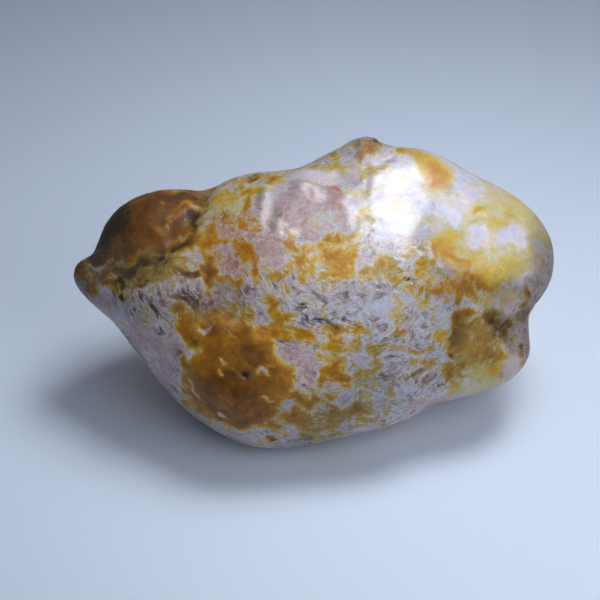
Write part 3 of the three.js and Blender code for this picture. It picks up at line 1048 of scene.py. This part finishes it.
class ReliefNodes:
    """The geometry nodes that grow the skin's relief and spread its minerals."""

    NUMBERS = ("Swell", "Wrinkle", "Grain", "Pits per square metre", "Pit radius", "Pit depth")

    # The noise behind the unseen sides' minerals, which each of them reads at a place of its own.
    WILD_GRAIN = Grain(0.13, 4.0, 0.55)
    WILD_START = (37.0, 11.0, 0.0)
    WILD_STRIDE = (37.0, 0.0, -23.0)

    # Waves, wrinkles and grain.
    WARP = Grain(0.5, 2.0, 0.5)
    WARP_REACH = 2.2
    WAVES = Grain(0.22, 2.0, 0.45)
    KNOTS = Grain(0.75, 3.0, 0.55)
    GRAIN = Grain(2.4, 2.0, 0.6)
    RIDGES = Step(0.32, 0.5)
    CALM_WRINKLES = Step(0.05, 0.5, 1.0, 0.2)
    ABOVE_SOLE = Step(0.2 * MM, 2.0 * MM)

    # Pits, as a share of their radius.
    PIT_BOWL = Step(0.2, 1.0, 1.0, 0.0)
    CALM_PITS = Step(0.05, 0.5, 1.0, 0.15)

    def __init__(self) -> None:
        """Starts an empty group with its inputs."""
        self.group = bpy.data.node_groups.new("agate_relief", "GeometryNodeTree")
        face = self.group.interface
        face.new_socket("Geometry", in_out="OUTPUT", socket_type="NodeSocketGeometry")
        face.new_socket("Geometry", in_out="INPUT", socket_type="NodeSocketGeometry")
        kinds = dict.fromkeys(self.NUMBERS, "NodeSocketFloat")
        kinds["Seed"] = "NodeSocketInt"
        self.identifiers: dict[str, str] = {}
        for name, kind in kinds.items():
            self.identifiers[name] = face.new_socket(name, in_out="INPUT", socket_type=kind).identifier
        self.tree = Tree(self.group)
        self.inputs = self.tree.node("NodeGroupInput").outputs

    def build(self) -> tuple[bpy.types.NodeTree, dict[str, str]]:
        """Builds the whole group.

        Returns:
            The group, and the identifier of each named input.
        """
        tree = self.tree
        position = tree.node("GeometryNodeInputPosition").outputs[0]
        place = tree.add(tree.scaled(position, 1 / MM), tree.joined(self.inputs["Seed"]))
        geometry = self.spread_minerals(self.inputs["Geometry"], place)
        geometry = self.raise_relief(geometry, place)
        geometry = self.press_pits(geometry)
        realized = tree.made("GeometryNodeRealizeInstances", {0: geometry}).outputs[0]
        feeds = {"Geometry": realized, "Material": AgateMaterial().build()}
        tree.made("NodeGroupOutput", {0: tree.made("GeometryNodeSetMaterial", feeds).outputs[0]})
        return self.group, self.identifiers

    def named(self, name: str) -> Socket:
        """Reads one of the skin's attributes."""
        node = self.tree.made("GeometryNodeInputNamedAttribute", {"Name": name}, data_type="FLOAT")
        return node.outputs["Attribute"]

    def store(self, geometry: Socket, name: str, value: Socket) -> Socket:
        """Writes an attribute of the skin.

        Args:
            geometry: The skin.
            name: The attribute's name.
            value: Its value.

        Returns:
            The skin with the attribute.
        """
        feeds = {"Geometry": geometry, "Name": name, "Value": value}
        node = self.tree.made("GeometryNodeStoreNamedAttribute", feeds, data_type="FLOAT", domain="POINT")
        return node.outputs[0]

    def moved_out(self, geometry: Socket, distance: Socket) -> Socket:
        """Moves the skin outwards along its normals."""
        offset = self.tree.scaled(self.tree.node("GeometryNodeInputNormal").outputs[0], distance)
        return self.tree.made("GeometryNodeSetPosition", {"Geometry": geometry, "Offset": offset}).outputs[0]

    def spread_minerals(self, geometry: Socket, place: Socket) -> Socket:
        """Colours the sides that the patches don't reach.

        Args:
            geometry: The skin.
            place: Places in millimetres.

        Returns:
            The skin, with each of the painted attributes filled all round.
        """
        tree = self.tree
        facing = self.named("facing")
        for turn, (name, step) in enumerate(WILD.items()):
            shift = tuple(start + turn * stride for start, stride in zip(self.WILD_START, self.WILD_STRIDE))
            wild = tree.ease(tree.noise(tree.add(place, shift), self.WILD_GRAIN).outputs[0], step)
            geometry = self.store(geometry, name, tree.blend_numbers(facing, wild, self.named(name)))
        return geometry

    def raise_relief(self, geometry: Socket, place: Socket) -> Socket:
        """Raises broad waves, wrinkles and grain, weaker on glassy minerals and near the sole.

        Args:
            geometry: The skin.
            place: Places in millimetres.

        Returns:
            The skin with its relief.
        """
        tree = self.tree
        bent = tree.warp(place, self.WARP, self.WARP_REACH)
        waves = tree.centred(tree.noise(place, self.WAVES).outputs[0])
        knots = tree.centred(tree.noise(bent, self.KNOTS).outputs[0])
        ridges = tree.math("SUBTRACT", 0.5, tree.math("ABSOLUTE", knots))
        wrinkles = tree.times(tree.centred(tree.ease(ridges, self.RIDGES)), self.inputs["Wrinkle"])
        grain = tree.times(tree.centred(tree.noise(bent, self.GRAIN).outputs[0]), self.inputs["Grain"])
        fine = tree.math("ADD", wrinkles, grain)
        fine = tree.times(fine, tree.ease(self.named("calm"), self.CALM_WRINKLES))
        total = tree.math("ADD", tree.times(waves, self.inputs["Swell"]), fine)
        height = tree.height(tree.node("GeometryNodeInputPosition").outputs[0])
        return self.moved_out(geometry, tree.times(total, tree.ease(height, self.ABOVE_SOLE)))

    def press_pits(self, geometry: Socket) -> Socket:
        """Scatters small round pits over the skin and presses them in.

        Args:
            geometry: The skin.

        Returns:
            The pitted skin, with the pits as an attribute.
        """
        tree = self.tree
        density, seed = self.inputs["Pits per square metre"], self.inputs["Seed"]
        feeds = {"Mesh": geometry, "Density": density, "Seed": seed}
        scatter = tree.made("GeometryNodeDistributePointsOnFaces", feeds, distribute_method="RANDOM")
        near = tree.made("GeometryNodeProximity", {0: scatter.outputs["Points"]}, target_element="POINTS")
        away = tree.math("DIVIDE", near.outputs["Distance"], self.inputs["Pit radius"])
        pit = tree.times(tree.ease(away, self.PIT_BOWL), tree.ease(self.named("calm"), self.CALM_PITS))
        geometry = self.store(geometry, "pit", pit)
        return self.moved_out(geometry, tree.times(pit, self.inputs["Pit depth"], -1.0))


@dataclass(frozen=True)
class AgateFinish:
    """The colours, roughness and bump of the agate.

    Attributes:
        bands: The colour at each share of iron, from none upwards.
        lace: The pale threads of the lace's net.
        frost_and_bounce: The cold white that the lace turns to in places, also painted as the floor's bluish
            bounce light on its lower side.
        blush: The warm white that it turns to in others.
        moss_and_shade: Dark green, for its mossy patches and for the painted shade in the valley, at the left
            end and on some top edges.
        lichen: The brown that this dark green turns to in places.
        rose: The pink of its rose spots.
        vein: The brown of their veins and of the net's edges.
        olive: What its yellows turn to where they are weathered.
        ember: The red of its iron specks.
        crease_dark: The dark colour painted into its creases and pits.
        shade_film_colour: The brown of the painted shade that darkens its ends, its lower side and some
            edges.
        roughness_net: How rough it is where the net shows.
        roughness_glass: How rough it is where it is glassy.
        roughness_rose: How rough its rose spots are.
        roughness_shade_film: How rough it is under the painted shade's brown layer.
        roughness_matt: How rough it is where it is weathered.
        roughness_polish: How rough it is where wear has polished it.
        bump_net: How strong the bump is where the net shows, from 0 to 1.
        bump_glass: How strong it is where the skin is glassy.
        bump_rose: How strong it is on the rose spots.
        bump_polish: How strong it is where wear has polished the skin.
        bump_depth: How deep the bump is at full strength.
        refraction: How strongly the agate bends light.
        shine: How strongly it mirrors, where 0.5 is a plain surface.
    """

    bands: tuple[tuple[float, Triple], ...] = (
        (0.06, srgb(66, 50, 42)),
        (0.17, srgb(102, 82, 74)),
        (0.25, srgb(138, 116, 104)),
        (0.32, srgb(166, 149, 142)),
        (0.38, srgb(187, 176, 182)),
        (0.42, srgb(199, 193, 214)),
        (0.455, srgb(217, 215, 234)),
        (0.49, srgb(208, 197, 170)),
        (0.53, srgb(206, 190, 124)),
        (0.58, srgb(210, 176, 58)),
        (0.63, srgb(208, 162, 30)),
        (0.69, srgb(190, 132, 22)),
        (0.78, srgb(160, 103, 20)),
        (0.88, srgb(122, 75, 20)),
        (1.0, srgb(78, 50, 18)),
    )
    lace: Triple = srgb(206, 208, 222)
    frost_and_bounce: Triple = srgb(176, 190, 222)
    blush: Triple = srgb(226, 190, 172)
    moss_and_shade: Triple = srgb(36, 36, 28)
    lichen: Triple = srgb(88, 76, 38)
    rose: Triple = srgb(202, 168, 168)
    vein: Triple = srgb(134, 96, 88)
    olive: Triple = srgb(148, 134, 72)
    ember: Triple = srgb(200, 106, 38)
    crease_dark: Triple = srgb(44, 34, 32)
    # the brown of the painted shade
    shade_film_colour: Triple = srgb(72, 61, 51)
    roughness_net: float = 0.40
    roughness_glass: float = 0.36
    roughness_rose: float = 0.40
    roughness_shade_film: float = 0.55
    roughness_matt: float = 0.75
    roughness_polish: float = 0.2
    bump_net: float = 0.5
    bump_glass: float = 0.15
    bump_rose: float = 0.2
    bump_polish: float = 0.45
    bump_depth: float = 0.09
    refraction: float = 1.54
    shine: float = 0.24


@dataclass
class AgateMaterial:
    """The nodule's one material. One field says how much iron stains each spot, and bands of colour
    follow from it. Layers of other colours lie over them.

    Attributes:
        finish: Its colours, roughness and bump.
        face: The plane that the net's fibres curve on.
        fibre_heart: What the fibres curve round, as u and v.
        fibre_turns: How fine the fibres are round it.
        fibre_scale: How many there are to a millimetre outwards.
        cell_turns: How fine the net's cells are round it.
        cell_scale: How many there are to a millimetre outwards.
    """

    finish: AgateFinish = AgateFinish()
    face: Face = Face()
    fibre_heart: tuple[float, float] = (3.0, 9.0)
    fibre_turns: float = 5.0
    fibre_scale: float = 2.1
    cell_turns: float = 13.0
    cell_scale: float = 1.9

    # How places are bent before patterns are read at them: one noise and its reach after another.
    WARPS = ((Grain(0.35, 1.0, 0.5), 2.2), (Grain(1.5, 1.0, 0.5), 0.45))

    # The net's fibres and cells.
    FIBRES = Grain(1.0, 3.0, 0.6)
    CELL_BORDER = Step(0.02, 0.12, 1.0, 0.0)

    # The share of iron: broad stains, and finer ones that calm minerals still.
    BROAD = Grain(0.5, 4.0, 0.6)
    BROAD_GAIN = Step(0.3, 0.9, 0.8, 0.2)
    GRAINS = Grain(1.9, 3.0, 0.6)
    NET_GAIN = Step(0.0, 0.8, 0.9, 0.08)
    GRAINS_SHARE = 0.5
    CELLS_SHARE = 0.28

    # Pale flecks along the fibres of the amber.
    FLECKS = Step(0.62, 0.72)
    FLECKED = Step(0.64, 0.74)
    FLECK_LOSS = 0.3

    # How much of the colour comes from below the surface, and what the share of iron does to the darkest
    # grains' colour and to the gloss.
    DEEP_SHARE = 0.5
    SHADE_TURNS = Step(0.5, 0.62)
    GLASSY = Step(0.55, 0.70)

    # Cold and warm clouds in the whites, and painted bounce light.
    CLOUDS = Grain(0.45, 3.0, 0.55)
    PALE_FROM = Step(0.30, 0.40)
    PALE_TO = Step(0.465, 0.54, 1.0, 0.0)
    COLD_CLOUDS = Step(0.5, 0.62, 0.0, 0.4)
    WARM_CLOUDS = Step(0.5, 0.38, 0.0, 0.4)
    FROST_AND_BOUNCE_SHARE = 0.6
    BLUSH_SHARE = 0.85

    # The lace's net. Lines are given as a noise's level and half their width.
    PALE_STRAND = (0.53, 0.04)
    BROWN_EDGES = ((0.46, 0.025), (0.60, 0.025))
    EDGE_SHARE = 0.7
    NET_TO = Step(0.48, 0.66, 0.55, 0.0)
    NET_FROM = Step(0.18, 0.34)
    SLITS = Step(0.51, 0.43)

    # The ragged borders of painted minerals.
    RAGGED = Grain(1.1, 4.0, 0.6)
    RAGGED_GAIN = 1.3

    # Rose spots and their veins.
    ROSE = Step(0.35, 0.75, 0.0, 0.6)
    VEINS = Grain(0.9, 5.0, 0.7)
    VEIN_BLOTS = Step(0.54, 0.66)
    VEIN_LINE = (0.46, 0.03)
    VEIN_SHARE = 0.7

    # Olive weathering, red iron specks, and dark green mossy patches that also paint shade.
    OLIVE = Step(0.3, 1.1, 0.0, 0.5)
    OLIVE_FROM = Step(0.47, 0.53)
    EMBERS = Grain(0.8, 4.0, 0.6)
    EMBER_SPECKS = Step(0.66, 0.74, 0.0, 0.5)
    EMBER_FROM = Step(0.36, 0.52)
    EMBER_CALM = Step(0.6, 0.9, 1.0, 0.0)
    EMBER = Step(0.35, 1.0, 0.0, 0.7)
    MOSS_AND_SHADE = Step(0.3, 0.9, 0.0, 0.9)
    MOTTLE = Grain(0.9, 5.0, 0.65)
    MOTTLED = Step(0.45, 0.62)

    # Dark threads, the painted shade's brown layer, and the darkening of creases and pits.
    THREADS = Grain(2.4, 3.0, 0.6)
    THREAD_LINE = (0.5, 0.03)
    THREAD_SHARE = 0.35
    SHADE_FILM_SHARE = 0.8
    PIT_DARKENING = 0.6
    CREASE_DARK_SHARE = 0.85

    # Fine speckles, with how strong they are on the lace and on calm minerals.
    SPECKLES = Grain(3.4, 2.0, 0.6)
    SPECKLE_SHARES = (0.28, 0.12)
    DARK_SPECKLES = Step(0.47, 0.34)
    PALE_SPECKLES = Step(0.53, 0.66)
    PALE_SPECKLES_TO = Step(0.55, 0.75, 0.7, 0.03)

    # The sparkle of polished spots, and the bump.
    SPARKLES = Grain(3.2, 3.0, 0.65)
    SPARKLING = Step(0.555, 0.485)
    BUMPS = Grain(4.5, 3.0, 0.6)

    def __post_init__(self) -> None:
        """Starts the material, with the patterns that several of its layers read."""
        self.material = bpy.data.materials.new("blotched_agate")
        self.material.use_nodes = True
        self.tree = Tree(self.material.node_tree)
        tree = self.tree
        self.bent = tree.scaled(tree.node("ShaderNodeTexCoord").outputs["Object"], 1 / MM)
        for grain, reach in self.WARPS:
            self.bent = tree.warp(self.bent, grain, reach)
        self.calm = self.read("calm")
        self.lively = tree.math("SUBTRACT", 1.0, self.calm)
        self.strands = self.fibres()
        self.border, self.cell = self.cells()
        self.iron, self.deep_iron = self.irons()
        self.ragged = tree.times(self.pushed(self.RAGGED), self.RAGGED_GAIN)
        shades = self.finish.bands[1][1], self.finish.bands[-1][1]
        self.shade = tree.blend(tree.ease(self.iron, self.SHADE_TURNS), *shades)

    def build(self) -> bpy.types.Material:
        """Builds the whole material.

        Returns:
            The material.
        """
        shader = self.material.node_tree.nodes["Principled BSDF"]
        colour = self.tree.blend(self.DEEP_SHARE, self.banded(self.iron), self.banded(self.deep_iron))
        layers = (self.clouded, self.netted, self.spotted, self.weathered, self.rusted, self.shaded_with_moss,
                  self.threaded, self.darkened, self.speckled)
        for layer in layers:
            colour = layer(colour)
        glass = self.tree.ease(self.iron, self.GLASSY)
        feeds = {
            "Base Color": colour,
            "Roughness": self.roughness(glass),
            "Normal": self.bump(glass),
            "IOR": self.finish.refraction,
            "Specular IOR Level": self.finish.shine,
        }
        for name, value in feeds.items():
            self.tree.feed(shader.inputs[name], value)
        return self.material

    def read(self, name: str) -> Socket:
        """Reads one of the skin's attributes."""
        return self.tree.node("ShaderNodeAttribute", attribute_name=name).outputs["Fac"]

    def pattern(self, grain: Grain) -> Socket:
        """Reads a noise at the bent places."""
        return self.tree.noise(self.bent, grain).outputs[0]

    def pushed(self, grain: Grain) -> Socket:
        """Reads a noise at the bent places, about 0."""
        return self.tree.centred(self.pattern(grain))

    def curved(self, turns: float, scale: float) -> tuple[Socket, Socket]:
        """Makes coordinates that curve round the crown and have no seam.

        Args:
            turns: How fine they are round the crown.
            scale: How fine they are outwards from it, in steps to a millimetre.

        Returns:
            Three coordinates and a fourth.
        """
        tree, face = self.tree, self.face
        across = tree.dot(self.bent, (1.0, 0.0, 0.0))
        up = tree.dot(self.bent, tuple(face.up))
        out = tree.dot(self.bent, tuple(face.out))
        heart_up = float(np.dot(face.heart, face.up))
        flat = tree.joined(
            tree.math("SUBTRACT", across, face.heart[0] + self.fibre_heart[0]),
            tree.math("SUBTRACT", up, heart_up + self.fibre_heart[1]),
        )
        reach = tree.vector("LENGTH", flat).outputs["Value"]
        ring = tree.scaled(tree.vector("NORMALIZE", flat).outputs[0], turns)
        rise = tree.joined(0.0, 0.0, tree.times(reach, scale))
        return tree.add(ring, rise), tree.times(out, scale * 0.5)

    def fibres(self) -> Socket:
        """Draws long grains that curve round the crown."""
        place, fourth = self.curved(self.fibre_turns, self.fibre_scale)
        return self.tree.noise(place, self.FIBRES, fourth).outputs[0]

    def cells(self) -> tuple[Socket, Socket]:
        """Packs the net's small flat cells side by side, curving with the fibres.

        Returns:
            How near each spot is to a cell's border, from 0 to 1, and a number of its cell's own.
        """
        tree = self.tree
        place, fourth = self.curved(self.cell_turns, self.cell_scale)
        feeds = {"Vector": place, "W": fourth, "Scale": 1.0}
        borders, insides = (
            tree.made("ShaderNodeTexVoronoi", feeds, voronoi_dimensions="4D", feature=feature)
            for feature in ("DISTANCE_TO_EDGE", "F1")
        )
        border = tree.ease(borders.outputs["Distance"], self.CELL_BORDER)
        return border, tree.made("ShaderNodeSeparateColor", {0: insides.outputs["Color"]}).outputs[0]

    def irons(self) -> tuple[Socket, Socket]:
        """Works out how much iron stains each spot.

        Returns:
            The share of iron at the surface, and the softer share that shines through from below it.
        """
        tree = self.tree
        painted = self.read("iron")
        broad = tree.times(self.pushed(self.BROAD), tree.ease(self.calm, self.BROAD_GAIN))
        deep = tree.math("ADD", painted, broad)
        iron = deep
        net_gain = tree.ease(self.calm, self.NET_GAIN)
        nets = (
            (self.pattern(self.GRAINS), self.GRAINS_SHARE),
            (self.cell, self.CELLS_SHARE),
            (self.strands, 1.0),
        )
        for net, share in nets:
            iron = tree.math("ADD", iron, tree.times(tree.centred(net), tree.times(net_gain, share)))
        fleck = tree.times(tree.ease(self.strands, self.FLECKS), tree.ease(painted, self.FLECKED))
        return tree.math("SUBTRACT", iron, tree.times(fleck, self.FLECK_LOSS)), deep

    def painted(self, name: str, step: Step) -> Socket:
        """Gives a painted mineral a ragged border."""
        return self.tree.ease(self.tree.math("ADD", self.read(name), self.ragged), step)

    def banded(self, iron: Socket) -> Socket:
        """Turns a share of iron into colour.

        Args:
            iron: The share.

        Returns:
            The colour.
        """
        ramp = self.tree.made("ShaderNodeValToRGB", {0: iron})
        stops = ramp.color_ramp.elements
        while len(stops) < len(self.finish.bands):
            stops.new(0.5)
        for stop, (position, colour) in zip(stops, self.finish.bands):
            stop.position = position
            stop.color = (*colour, 1.0)
        return ramp.outputs[0]

    def clouded(self, colour: Socket) -> Socket:
        """Turns the whites cold in some clouds and warm in others, and paints bluish bounce light on the
        lower side.
        """
        tree, finish = self.tree, self.finish
        clouds = self.pattern(self.CLOUDS)
        pale = tree.times(tree.ease(self.iron, self.PALE_FROM), tree.ease(self.iron, self.PALE_TO))
        # the cold cast also paints the floor's bluish bounce light on the lower side
        casts = (
            ("frost_and_bounce", self.FROST_AND_BOUNCE_SHARE, self.COLD_CLOUDS, finish.frost_and_bounce),
            ("blush", self.BLUSH_SHARE, self.WARM_CLOUDS, finish.blush),
        )
        for name, share, step, tint in casts:
            cast = tree.larger(tree.ease(clouds, step), tree.times(self.read(name), share))
            colour = tree.blend(tree.times(cast, pale), colour, tint)
        return colour

    def netted(self, colour: Socket) -> Socket:
        """Lays the lace's pale net, its brown edges and its dark slits over the colour."""
        tree, finish = self.tree, self.finish
        net = tree.times(tree.larger(self.border, tree.line(self.strands, *self.PALE_STRAND)), self.lively)
        net = tree.times(net, tree.ease(self.iron, self.NET_TO), tree.ease(self.iron, self.NET_FROM))
        colour = tree.blend(net, colour, finish.lace)
        edges = tree.larger(*(tree.line(self.strands, *edge) for edge in self.BROWN_EDGES))
        colour = tree.blend(tree.times(edges, self.lively, self.EDGE_SHARE), colour, finish.vein)
        slits = tree.times(tree.ease(self.strands, self.SLITS), self.read("umber"))
        return tree.blend(slits, colour, finish.bands[0][1])

    def spotted(self, colour: Socket) -> Socket:
        """Lays the rose spots and their veins over the colour."""
        tree, finish = self.tree, self.finish
        veins = self.pattern(self.VEINS)
        veins = tree.larger(tree.ease(veins, self.VEIN_BLOTS), tree.line(veins, *self.VEIN_LINE))
        spot = tree.blend(tree.times(veins, self.VEIN_SHARE), finish.rose, finish.vein)
        return tree.blend(self.painted("rose", self.ROSE), colour, spot)

    def weathered(self, colour: Socket) -> Socket:
        """Weathers the yellows to olive."""
        share = self.tree.times(self.painted("olive", self.OLIVE), self.tree.ease(self.iron, self.OLIVE_FROM))
        return self.tree.blend(share, colour, self.finish.olive)

    def rusted(self, colour: Socket) -> Socket:
        """Lays red specks of iron over the colour."""
        tree = self.tree
        specks = tree.times(
            tree.ease(self.pattern(self.EMBERS), self.EMBER_SPECKS),
            tree.ease(self.iron, self.EMBER_FROM),
            tree.ease(self.calm, self.EMBER_CALM),
        )
        return tree.blend(tree.larger(specks, self.painted("ember", self.EMBER)), colour, self.finish.ember)

    def shaded_with_moss(self, colour: Socket) -> Socket:
        """Lays mottled dark green over the colour: mossy patches, and painted shade in places."""
        tree, finish = self.tree, self.finish
        mottle = tree.ease(self.pattern(self.MOTTLE), self.MOTTLED)
        moss_and_shade = tree.blend(mottle, finish.moss_and_shade, finish.lichen)
        return tree.blend(self.painted("moss_and_shade", self.MOSS_AND_SHADE), colour, moss_and_shade)

    def threaded(self, colour: Socket) -> Socket:
        """Draws fine dark threads over the colour."""
        tree = self.tree
        threads = tree.line(self.pattern(self.THREADS), *self.THREAD_LINE)
        share = tree.times(threads, tree.times(self.lively, self.THREAD_SHARE))
        return tree.blend(share, colour, self.shade)

    def darkened(self, colour: Socket) -> Socket:
        """Lays the painted shade, a dull brown layer, over the colour, and darkens the creases and pits."""
        tree, finish = self.tree, self.finish
        # painted shade: a dull brown layer over the ends, the lower side and some edges
        colour = tree.blend(tree.times(self.read("shade_film"), self.SHADE_FILM_SHARE), colour, finish.shade_film_colour)
        # darkens the bottoms of creases and hollows, and the pits
        darkening = tree.larger(self.read("darkness"), tree.times(self.read("pit"), self.PIT_DARKENING))
        darkening = tree.math("MULTIPLY", darkening, self.CREASE_DARK_SHARE, clamp=True)
        return tree.blend(darkening, colour, finish.crease_dark)

    def speckled(self, colour: Socket) -> Socket:
        """Dapples the colour finely with darker and paler grains."""
        tree = self.tree
        grains = self.pattern(self.SPECKLES)
        share = tree.blend_numbers(self.calm, *self.SPECKLE_SHARES)
        dark = tree.times(tree.ease(grains, self.DARK_SPECKLES), share)
        pale = tree.times(tree.ease(grains, self.PALE_SPECKLES), share)
        pale = tree.times(pale, tree.ease(self.iron, self.PALE_SPECKLES_TO))
        colour = tree.blend(dark, colour, self.shade)
        return tree.blend(pale, colour, self.finish.lace)

    def roughness(self, glass: Socket) -> Socket:
        """Works out how rough each spot is.

        Args:
            glass: How glassy it is.

        Returns:
            The roughness.
        """
        tree, finish = self.tree, self.finish
        rough = tree.blend_numbers(glass, finish.roughness_net, finish.roughness_glass)
        rough = tree.blend_numbers(self.read("rose"), rough, finish.roughness_rose)
        # where the painted shade's brown layer lies, the skin is duller too
        rough = tree.blend_numbers(self.read("shade_film"), rough, finish.roughness_shade_film)
        rough = tree.blend_numbers(self.read("matt"), rough, finish.roughness_matt)
        sparkles = tree.ease(self.pattern(self.SPARKLES), self.SPARKLING)
        return tree.blend_numbers(tree.times(self.read("polish"), sparkles), rough, finish.roughness_polish)

    def bump(self, glass: Socket) -> Socket:
        """Crinkles the surface finely, less so where it is glassy.

        Args:
            glass: How glassy it is.

        Returns:
            The bumped normal.
        """
        tree, finish = self.tree, self.finish
        strength = tree.blend_numbers(glass, finish.bump_net, finish.bump_glass)
        strength = tree.blend_numbers(self.read("rose"), strength, finish.bump_rose)
        strength = tree.blend_numbers(self.read("polish"), strength, finish.bump_polish)
        feeds = {"Height": self.pattern(self.BUMPS), "Strength": strength, "Distance": finish.bump_depth * MM}
        return tree.made("ShaderNodeBump", feeds).outputs[0]


@dataclass(frozen=True)
class FloorFinish:
    """The look of the floor.

    Attributes:
        colour: Its colour.
        roughness: How rough it is.
        shine: How strongly it mirrors.
    """

    colour: Triple = srgb(224, 236, 255)
    roughness: float = 0.9
    shine: float = 0.2


@dataclass(frozen=True)
class Lamp:
    """A square soft light.

    Attributes:
        name: Its name.
        towards: The direction to it from the nodule's heart.
        far: How far off it is.
        side: How wide it is.
        watts: Its power.
        colour: Its colour.
        spread: How wide its beam is, in degrees.
        aim: The point that it is turned to, or None for the heart.
        diffuse: Whether it lights surfaces.
        glossy: Whether it shows in what shines.
    """

    name: str
    towards: Triple
    far: float
    side: float
    watts: float
    colour: Triple
    spread: float = 180.0
    aim: Triple | None = None
    diffuse: bool = True
    glossy: bool = True


KEY = Lamp(
    name="key",
    towards=(0.30, 0.22, 0.93),
    far=200.0,
    side=110.0,
    watts=0.037,
    colour=(0.93, 0.96, 1.0),
    spread=60.0,
    aim=(8.0, 2.0, 17.0),
    glossy=False,
)
GLINT = replace(KEY, name="glint", side=29.0, watts=0.0112, spread=18.0, diffuse=False, glossy=True)
FILL = Lamp("fill", (0.60, -0.62, 0.50), 130.0, 100.0, 0.06, (0.97, 0.98, 1.0), glossy=False)


@dataclass
class Studio:
    """The pale floor, the soft lights, the sky and the camera.

    Attributes:
        face: The plane that the camera looks at squarely.
        floor_finish: The look of the floor.
        floor_side: How wide the floor is.
        distance: From the camera to the heart.
        view_width: How much the camera sees across at the heart.
        aside: How far the camera's aim is moved from the heart, along u and v.
        sensor: How wide the camera's sensor is.
        lamps: Its lights.
        sky_colour: The colour of the sky.
        sky: How bright the sky is overhead and at its horizon.
        sky_top: How high the overhead brightness starts, where 0 is the horizon and 1 is straight up.
    """

    face: Face
    floor_finish: FloorFinish = FloorFinish()
    floor_side: float = 4000.0
    distance: float = 300.0
    view_width: float = 67.5
    aside: tuple[float, float] = (-1.35, -1.0)
    sensor: float = 36.0
    lamps: tuple[Lamp, ...] = (KEY, GLINT, FILL)
    sky_colour: Triple = srgb(222, 228, 240)
    sky: tuple[float, float] = (0.24, 0.08)
    sky_top: float = 0.9

    def build(self) -> None:
        """Sets everything up."""
        self.floor()
        self.camera()
        for lamp in self.lamps:
            self.hang(lamp)
        self.world()

    def floor(self) -> None:
        """Lays the floor under the nodule."""
        half = self.floor_side / 2 * MM
        mesh = bpy.data.meshes.new("floor")
        corners = [(-half, -half, 0), (half, -half, 0), (half, half, 0), (-half, half, 0)]
        mesh.from_pydata(corners, [], [(0, 1, 2, 3)])
        floor = linked("floor", mesh)
        material = bpy.data.materials.new("pale_floor")
        material.use_nodes = True
        shader = material.node_tree.nodes["Principled BSDF"]
        shader.inputs["Base Color"].default_value = (*self.floor_finish.colour, 1.0)
        shader.inputs["Roughness"].default_value = self.floor_finish.roughness
        shader.inputs["Specular IOR Level"].default_value = self.floor_finish.shine
        mesh.materials.append(material)

    def camera(self) -> None:
        """Aims the camera squarely at the face."""
        data = bpy.data.cameras.new("camera")
        data.sensor_width = self.sensor
        data.lens = self.sensor * self.distance / self.view_width
        camera = linked("camera", data)
        out = Vector(self.face.out)
        aim = Vector(self.face.heart) + Vector((self.aside[0], 0, 0)) + Vector(self.face.up) * self.aside[1]
        camera.location = (aim + out * self.distance) * MM
        camera.rotation_mode = "QUATERNION"
        camera.rotation_quaternion = (-out).to_track_quat("-Z", "Y")
        bpy.context.scene.camera = camera

    def hang(self, lamp: Lamp) -> None:
        """Hangs one light.

        Args:
            lamp: The light.
        """
        data = bpy.data.lights.new(lamp.name, "AREA")
        data.shape = "SQUARE"
        data.size = lamp.side * MM
        data.energy = lamp.watts
        data.color = lamp.colour
        data.spread = math.radians(lamp.spread)
        hung = linked(lamp.name, data)
        heart = Vector(self.face.heart)
        hung.location = (heart + Vector(lamp.towards).normalized() * lamp.far) * MM
        hung.rotation_mode = "QUATERNION"
        aim = Vector(lamp.aim) if lamp.aim else heart
        hung.rotation_quaternion = (hung.location - aim * MM).to_track_quat("Z", "Y")
        hung.visible_diffuse = lamp.diffuse
        hung.visible_glossy = lamp.glossy

    def world(self) -> None:
        """Lights the scene softly from above, fading towards the horizon."""
        world = bpy.data.worlds.new("studio")
        world.use_nodes = True
        tree = Tree(world.node_tree)
        background = world.node_tree.nodes["Background"]
        overhead, horizon = self.sky
        rise = tree.height(tree.node("ShaderNodeTexCoord").outputs["Generated"])
        tree.feed(background.inputs["Strength"], tree.ease(rise, Step(0.0, self.sky_top, horizon, overhead)))
        tree.feed(background.inputs["Color"], self.sky_colour)
        bpy.context.scene.world = world
        bpy.context.scene.view_settings.view_transform = "Standard"


def report(piece: bpy.types.Object) -> None:
    """Logs a piece's size and triangles.

    Args:
        piece: The piece.
    """
    triangles = sum(len(polygon.vertices) - 2 for polygon in piece.data.polygons)
    sides = " x ".join(f"{side / MM:.1f}" for side in piece.dimensions)
    log.info("%s: %s mm, %d triangles", piece.name, sides, triangles)


def main() -> None:
    """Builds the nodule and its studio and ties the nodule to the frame."""
    logging.basicConfig(level=logging.INFO, format="%(name)s: %(message)s")
    face = Face()
    stone = Skin(face).build()
    for polygon in stone.data.polygons:
        polygon.use_smooth = True
    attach(stone, BODY)
    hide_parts(NODE)
    report(stone)
    Studio(face).build()


if __name__ == "__main__":
    main()
